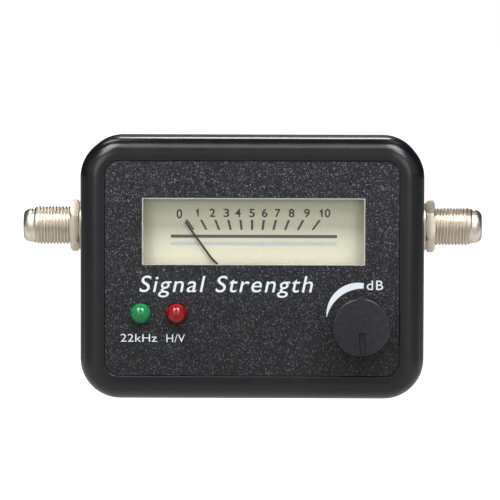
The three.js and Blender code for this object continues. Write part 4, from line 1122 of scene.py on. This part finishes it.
def shape_tree(name, sizes):
    """A tree of geometry nodes with named inputs. Returns it and the sockets that give them."""
    tree = bpy.data.node_groups.new(name, "GeometryNodeTree")
    tree.interface.new_socket("Geometry", in_out="OUTPUT", socket_type="NodeSocketGeometry")
    for title, kind, value in sizes:
        socket = tree.interface.new_socket(title, in_out="INPUT", socket_type=kind)
        socket.default_value = value
    return tree, wired(tree, "NodeGroupInput")


def real_copies(tree, points, instance):
    """A copy of one shape at each point, as real geometry."""
    copies = wired(tree, "GeometryNodeInstanceOnPoints", Points=points, Instance=instance)
    return wired(tree, "GeometryNodeRealizeInstances", Geometry=copies["Instances"])["Geometry"]


def finish_tree(tree, geometry, material):
    """Gives a tree's geometry its material and sends it out."""
    painted = wired(tree, "GeometryNodeSetMaterial", Geometry=geometry, Material=material)
    tree.links.new(painted["Geometry"], tree.nodes.new("NodeGroupOutput").inputs["Geometry"])


def grown(name, tree):
    """An object whose mesh is what a node tree makes."""
    made = bpy.data.objects.new(name, bpy.data.meshes.new(name))
    bpy.context.scene.collection.objects.link(made)
    grow = made.modifiers.new("grow", "NODES")
    grow.node_group = tree
    for socket in tree.interface.items_tree:
        if socket.item_type == "SOCKET" and socket.in_out == "INPUT":
            grow[socket.identifier] = socket.default_value
    settle(made)
    return made


def tick_tree(material):
    """Ticks that point at the pivot, with level ends, one for each step of the scale."""
    tree, given = shape_tree("dial_ticks", [
        ("Count", "NodeSocketInt", FIGURES),
        ("First Lean", "NodeSocketFloat", math.radians(FIRST_LEAN)),
        ("Lean Step", "NodeSocketFloat", math.radians(LEAN_STEP)),
        ("First Shift", "NodeSocketFloat", FIRST_TICK_SHIFT * MM),
        ("Pivot", "NodeSocketVector", ((PIVOT_X + TICK_SHIFT) * MM, 0.0, PIVOT_Z * MM)),
        ("Foot", "NodeSocketFloat", TICK_FOOT * MM),
        ("Head", "NodeSocketFloat", TICK_HEAD * MM),
        ("Width", "NodeSocketFloat", TICK_WIDTH * MM),
        ("Thickness", "NodeSocketFloat", LINE_THICKNESS * MM),
        ("Depth", "NodeSocketFloat", (DIAL_FRONT - LINE_THICKNESS / 2) * MM),
    ])
    line = wired(tree, "GeometryNodeMeshLine", Count=given["Count"], Offset=(0.0, 0.0, 0.0))
    index = wired(tree, "GeometryNodeInputIndex")["Index"]
    turn = value_node(tree, "MULTIPLY", given["Lean Step"], index)
    slope = value_node(tree, "TANGENT", value_node(tree, "ADD", given["First Lean"], turn))
    pivot = wired(tree, "ShaderNodeSeparateXYZ", Vector=given["Pivot"])
    middle = value_node(tree, "MULTIPLY", value_node(tree, "ADD", given["Foot"], given["Head"]), 0.5)
    tall = value_node(tree, "SUBTRACT", given["Head"], given["Foot"])
    reach = value_node(tree, "SUBTRACT", middle, pivot["Z"])
    is_first = value_node(tree, "LESS_THAN", index, 0.5)
    nudge = value_node(tree, "MULTIPLY", is_first, given["First Shift"])
    start = value_node(tree, "ADD", pivot["X"], nudge)
    across = value_node(tree, "ADD", start, value_node(tree, "MULTIPLY", reach, slope))

    store = wired(tree, "GeometryNodeStoreNamedAttribute", Name="slope", Geometry=line["Mesh"], Value=slope)
    where = wired(tree, "ShaderNodeCombineXYZ", X=across, Y=given["Depth"], Z=middle)
    points = wired(
        tree, "GeometryNodeSetPosition", Geometry=store["Geometry"], Position=where["Vector"]
    )["Geometry"]
    size = wired(tree, "ShaderNodeCombineXYZ", X=given["Width"], Y=given["Thickness"], Z=tall)
    bar = wired(tree, "GeometryNodeMeshCube", Size=size["Vector"])["Mesh"]
    upright = real_copies(tree, points, bar)

    own_slope = wired(tree, "GeometryNodeInputNamedAttribute", Name="slope")["Attribute"]
    here = wired(tree, "GeometryNodeInputPosition")["Position"]
    height = wired(tree, "ShaderNodeSeparateXYZ", Vector=here)["Z"]
    above = value_node(tree, "SUBTRACT", height, middle)
    shift = wired(tree, "ShaderNodeCombineXYZ", X=value_node(tree, "MULTIPLY", above, own_slope))
    leaning = wired(tree, "GeometryNodeSetPosition", Geometry=upright, Offset=shift["Vector"])
    finish_tree(tree, leaning["Geometry"], material)
    return tree


def dial_ticks():
    made = grown("dial_ticks", tick_tree(FINISHES["dial_black_ink"]))
    fit_out(made, "needle_black", finish="dial_black_ink")


def dial_lines():
    depth = (DIAL_FRONT - LINE_THICKNESS, DIAL_FRONT)
    for name, (across, rise), slot, finish in (
        ("dial_line", DARK_LINE, "needle_black", "dial_grey_ink"),
        ("dial_band", PALE_BAND, "dial_cream", "dial_pale_band"),
    ):
        piece(name, box_shell(across, depth, rise), slot, finish=finish)


def needle():
    """The needle at its zero, with the sideways step above the lower edge of the window."""
    box_low, box_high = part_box("meter_needle")
    front, back = box_low.y / MM, box_high.y / MM
    rings = []
    for along, side, half in NEEDLE_SPINE:
        left, right = side - half, side + half
        rings.append([
            (right, back, along), (right, front, along), (left, front, along), (left, back, along)
        ])
    made = raw_object("needle_arm", loft(rings))
    tail = box_shell((-NEEDLE_TAIL_HALF_WIDTH, NEEDLE_TAIL_HALF_WIDTH), (front, back), NEEDLE_TAIL)
    carve(made, [tail, turned([(NEEDLE_HUB, front), (NEEDLE_HUB, back)])], "UNION")
    carve(made, [turned([(NEEDLE_BORE, front - OVERRUN), (NEEDLE_BORE, back + OVERRUN)])])
    lean = Matrix.Rotation(math.radians(FIRST_LEAN), 4, "Y")
    made.data.transform(Matrix.Translation(Vector((PIVOT_X, 0.0, PIVOT_Z)) * MM) @ lean)
    soften(made, NEEDLE_EDGE)
    fit_out(made, "needle_black", "meter_needle", body="needle")


# Window


def meter_lens():
    """The clear front of the panel meter: a wide flange with a raised pane that fills the opening."""
    box_low, box_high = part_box("meter_lens")
    flange = ((box_high.x - box_low.x) / 2 / MM, LENS_HALF_HEIGHT, LENS_CORNER)
    rings = [rounded_ring(flange, y, WINDOW_MIDDLE) for y in (LENS_BACK, LENS_FRONT)]
    rings.append(rounded_ring(PLUG_OUTLINE, LENS_FRONT, PLUG_MIDDLE))
    rings += rings_of(PLUG_OUTLINE, round_off(PLUG_FRONT, PLUG_EDGE, PLUG_EDGE, FINE_STEPS), PLUG_MIDDLE)
    piece("window_pane", loft(rings), "clear_window", "meter_lens")


def window_rim():
    """The polished rim of the lens just inside the opening, pale as a painted highlight so that it shows as
    a light line over the card's shaded edge.
    """
    half_width, half_height, corner = WINDOW_OUTLINE
    x, z = WINDOW_MIDDLE
    rings = []
    for inset, y in (
        (RIM_OUTER, LENS_FRONT), (RIM_OUTER, RIM_FRONT), (RIM_INNER, RIM_FRONT), (RIM_INNER, LENS_FRONT)
    ):
        outline = (half_width - inset, half_height + RIM_OUTER - RIM_HEIGHT_SHARE * inset, RIM_CORNER)
        rings.append(rounded_ring(outline, y, (x, z - RIM_DROP_SHARE * inset)))
    piece("window_rim", loft(rings, closed=True), "clear_window", finish="clear_edge")


# Lamps and knob


def signal_lamp(name, x, finish, node):
    profile = [
        (0.0, LAMP_FLANGE_BACK),
        (LAMP_FLANGE_RADIUS, LAMP_FLANGE_BACK),
        (LAMP_FLANGE_RADIUS, LAMP_FLANGE_FRONT),
        (LAMP_RADIUS, LAMP_FLANGE_FRONT),
    ]
    for angle in quarter_turn(DOME_STEPS)[:-1]:
        profile.append((LAMP_RADIUS * math.cos(angle), LAMP_DOME - LAMP_RADIUS * math.sin(angle)))
    profile.append((0.0, LAMP_DOME - LAMP_RADIUS))
    piece(name, turned(profile, (x, 0.0, LAMP_Z)), finish, node)


def knob():
    profile = [
        (0.0, KNOB_SOCKET_FLOOR),
        (KNOB_SOCKET, KNOB_SOCKET_FLOOR),
        (KNOB_SOCKET, KNOB_BASE - KNOB_SKIRT_DEPTH),
        (KNOB_SKIRT, KNOB_BASE - KNOB_SKIRT_DEPTH),
        (KNOB_SKIRT, KNOB_BASE),
        (KNOB_BASE_RADIUS - KNOB_BASE_EDGE, KNOB_BASE),
        (KNOB_BASE_RADIUS, KNOB_BASE - KNOB_BASE_EDGE),
        (KNOB_SHOULDER_RADIUS, KNOB_FACE + KNOB_SHOULDER),
    ]
    edge = round_off(KNOB_FACE, KNOB_EDGE, KNOB_EDGE, FINE_STEPS)
    profile += [(KNOB_RADIUS - inset, y) for inset, y in edge]
    profile.append((0.0, KNOB_FACE))
    made = raw_object("knob_cap", turned(profile, (KNOB_X, 0.0, KNOB_Z), FINE_TURN_STEPS))
    rib = box_shell(
        (KNOB_X - RIB_HALF_WIDTH, KNOB_X + RIB_HALF_WIDTH),
        (KNOB_FACE + RIB_SUNK, KNOB_FACE + RIB_LENGTH),
        (KNOB_Z + RIB_START, KNOB_Z + KNOB_RADIUS + RIB_PROUD),
    )
    carve(made, [rib], "UNION")
    slope_end = KNOB_FACE + GROOVE_SLOPE_DEPTH
    slope = box_shell((-GROOVE_HALF_WIDTH, GROOVE_HALF_WIDTH), (KNOB_FACE, slope_end), GROOVE_ENDS)
    for vert in slope.verts:
        if vert.co.y > KNOB_FACE + GROOVE_SLOPE_DEPTH / 2:
            vert.co.x = math.copysign(GROOVE_FLOOR_HALF_WIDTH, vert.co.x)
            vert.co.z = GROOVE_FLOOR_ENDS[0 if vert.co.z < sum(GROOVE_ENDS) / 2 else 1]
    floor_cut = box_shell(
        (-GROOVE_FLOOR_HALF_WIDTH, GROOVE_FLOOR_HALF_WIDTH),
        (slope_end - GROOVE_OVERLAP, KNOB_FACE + GROOVE_FLOOR_DEPTH),
        GROOVE_FLOOR_ENDS,
    )
    turn = Matrix.Rotation(math.radians(GROOVE_TURN), 4, "Y")
    for groove in (slope, floor_cut):
        place = Matrix.Translation((KNOB_X, 0.0, KNOB_Z)) @ turn
        bmesh.ops.transform(groove, matrix=place, verts=groove.verts)
        carve(made, [groove])
    fit_out(made, "knob_charcoal", "control_knob", body="knob")


# Connectors


def barrel_shell(hand):
    """The barrel as one skin from the bore's inner end to its outer end, with a wound V thread."""
    shell = bmesh.new()
    foot = [
        (BORE_RADIUS, BARREL_INNER),
        (NECK_RADIUS, BARREL_INNER),
        (NECK_RADIUS, FLANGE_INNER),
        (FLANGE_RADIUS, FLANGE_INNER),
        (FLANGE_RADIUS, FLANGE_OUTER),
        (THREAD_ROOT, FLANGE_OUTER),
    ]
    inner = tube(shell, circles(foot, CONNECTOR_PLACE, "X", hand=hand))
    wound_thread(shell, hand)
    nose = [(NOSE_RADIUS, THREAD_END), (NOSE_RADIUS, THREAD_END + NOSE_LAND)]
    tip = round_off(TIP, NOSE_ROUND_DEPTH, -NOSE_ROUND_LENGTH, NOSE_STEPS)
    nose += [(NOSE_RADIUS - inset, along) for inset, along in tip]
    nose.append((BORE_RADIUS, TIP - BORE_EDGE))
    outer = tube(shell, circles(nose, CONNECTOR_PLACE, "X", hand=hand))
    band(shell, outer[-1], inner[0])
    return shell


def wound_thread(shell, hand):
    """A V thread whose crest and root lines follow the helix, run out at both ends."""
    turns = int((THREAD_END - FLANGE_OUTER) / THREAD_PITCH) + 3
    lines = []
    for turn in range(-2, turns):
        for share, rise in TOOTH_SHARES:
            line = []
            for side in range(TURN_STEPS + 1):
                lead = side / TURN_STEPS if hand < 0 else 1 - side / TURN_STEPS
                along = FLANGE_OUTER + THREAD_PITCH * (turn + share + lead)
                along = min(THREAD_END, max(FLANGE_OUTER, along))
                end = min(1.0, (THREAD_END - along) / THREAD_PITCH / THREAD_RUN_OUT_TURNS)
                fade = max(0.0, min(end, (along - FLANGE_OUTER) / THREAD_LEAD_IN))
                radius = THREAD_ROOT + (THREAD_CREST - THREAD_ROOT) * rise * fade
                radius += (NOSE_RADIUS - THREAD_ROOT) * (1.0 - end)
                angle = 2 * math.pi * side / TURN_STEPS
                point = turned_point(radius, angle, along, CONNECTOR_PLACE, "X", hand)
                line.append(shell.verts.new(point))
            lines.append(line)
    for low, high in zip(lines, lines[1:]):
        for i in range(TURN_STEPS):
            shell.faces.new((low[i], low[i + 1], high[i + 1], high[i]))


def connector_nut(side, hand):
    """A hexagon nut with rounded corners, turned from a corner upwards by its few degrees."""
    corners = []
    for k in range(6):
        angle = math.pi / 2 + k * math.pi / 3 + math.radians(NUT_TURN[side])
        corners.append((
            CONNECTOR_Y + NUT_CORNER * math.cos(angle), CONNECTOR_Z + NUT_CORNER * math.sin(angle)
        ))
    rings = [[(hand * along, y, z) for y, z in corners] for along in (NUT_START, NUT_END)]
    made = raw_object(f"{side}_hex_nut", loft(rings))
    around = NUT_CORNER + NUT_ROUND_REACH
    rounder = turned_sideways([
        (0.0, NUT_START),
        (NUT_CORNER - NUT_ROUND_DEPTH, NUT_START),
        (around, NUT_START + NUT_ROUND_LENGTH),
        (around, NUT_END - NUT_ROUND_LENGTH),
        (NUT_CORNER - NUT_ROUND_DEPTH, NUT_END),
        (0.0, NUT_END),
    ], hand, FINE_TURN_STEPS)
    carve(made, [rounder], "INTERSECT")
    bore = [(THREAD_HOLE, NUT_START - OVERRUN), (THREAD_HOLE, NUT_END + OVERRUN)]
    carve(made, [turned_sideways(bore, hand)])
    soften(made, NUT_EDGE)
    fit_out(made, "nickel_warm", f"{side}_connector_nut", finish="nickel_nut", angle=NUT_SMOOTH_ANGLE)


def connector_washer(side, hand):
    profile = [
        (THREAD_HOLE, WASHER_START),
        (WASHER_RADIUS - WASHER_EDGE, WASHER_START),
        (WASHER_RADIUS, WASHER_START + WASHER_EDGE),
        (WASHER_RADIUS, WASHER_END - WASHER_EDGE),
        (WASHER_RADIUS - WASHER_EDGE, WASHER_END),
        (THREAD_HOLE, WASHER_END),
    ]
    shell = turned_sideways(profile, hand, closed=True)
    piece(f"{side}_flat_washer", shell, "nickel_warm", f"{side}_connector_washer")


def connector_insulator(side, hand):
    """The white insulator in the bore, with a bevelled outer end and a hole for the contact."""
    node = f"{side}_connector_insulator"
    low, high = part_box(node)
    start, end = sorted((abs(low.x) / MM, abs(high.x) / MM))
    profile = [
        (INSULATOR_HOLE, start),
        (INSULATOR_RADIUS, start),
        (INSULATOR_RADIUS, end - INSULATOR_EDGE),
        (INSULATOR_RADIUS - INSULATOR_EDGE, end),
        (INSULATOR_HOLE + INSULATOR_EDGE, end),
        (INSULATOR_HOLE, end - INSULATOR_EDGE),
    ]
    piece(f"{side}_insulator", turned_sideways(profile, hand, closed=True), "insulator_white", node)


def connector(side, hand):
    piece(f"{side}_barrel", barrel_shell(hand), "nickel_warm", f"{side}_connector_barrel")
    connector_nut(side, hand)
    connector_washer(side, hand)
    connector_insulator(side, hand)


# Cover screws


def screw_source():
    """One pan head screw with a cross recess, along Y, with its seat at the origin."""
    profile = [(0.0, HEAD_TOP)]
    for angle in reversed(quarter_turn(FINE_STEPS)):
        profile.append((
            HEAD_FLAT + HEAD_ROUND * math.cos(angle), HEAD_SIDE + HEAD_ROUND * math.sin(angle)
        ))
    profile += [(HEAD_RADIUS, 0.0), (SHANK_RADIUS, 0.0), (SHANK_RADIUS, SHANK_END), (0.0, SCREW_POINT)]
    made = raw_object("screw_source", turned(profile, sides=SCREW_STEPS))
    cross = []
    for x, z in ((CROSS_HALF_WIDTH, CROSS_REACH), (CROSS_REACH, CROSS_HALF_WIDTH)):
        cross.append(box_shell((-x, x), (CROSS_FLOOR, HEAD_TOP + HEAD_ROUND), (-z, z)))
    carve(made, cross)
    smooth(made)
    return made


def screw_tree(source, material):
    """Copies of one screw at the four corners of a rectangle."""
    tree, given = shape_tree("corner_screws", [
        ("Width", "NodeSocketFloat", 2 * SCREW_X * MM),
        ("Height", "NodeSocketFloat", (SCREW_HIGH - SCREW_LOW) * MM),
        ("Centre", "NodeSocketVector", (
            0.0, (SCREW_SEAT + SCREW_GAP) * MM, (SCREW_HIGH + SCREW_LOW) / 2 * MM,
        )),
    ])
    grid = wired(
        tree, "GeometryNodeMeshGrid",
        Vertices_X=2, Vertices_Y=2, Size_X=given["Width"], Size_Y=given["Height"],
    )
    upright = wired(
        tree, "GeometryNodeTransform",
        Geometry=grid["Mesh"], Rotation=(math.pi / 2, 0.0, 0.0), Translation=given["Centre"],
    )
    one = wired(tree, "GeometryNodeObjectInfo", Object=source)
    finish_tree(tree, real_copies(tree, upright["Geometry"], one["Geometry"]), material)
    return tree


def cover_screws():
    source = screw_source()
    made = grown("corner_screws", screw_tree(source, FINISHES["screw_dark"]))
    bpy.data.objects.remove(source)
    nodes = [f"cover_screw_{number}" for number in range(1, 5)]
    fit_out(made, "screw_dark", *nodes)


# Assembly

photo_camera()
studio_world()
floor()
for box in SOFT_BOXES:
    soft_box(*box)

front_cover()
back_cover()
front_label()
rear_label()
label_print()
dial_figures()
dial_ticks()
dial_lines()
needle()
meter_lens()
window_rim()
signal_lamp("green_lamp", GREEN_X, "lamp_green", "led_green")
signal_lamp("red_lamp", RED_X, "lamp_red", "led_red")
knob()
connector("left", -1)
connector("right", 1)
cover_screws()

for part in frame["record"]["subparts"]:
    solid = frame["nodes"][part["node"]]
    solid.data.materials.clear()
    solid.data.materials.append(FINISHES[part["material_slot"]])

bpy.context.scene.view_settings.view_transform = "Standard"
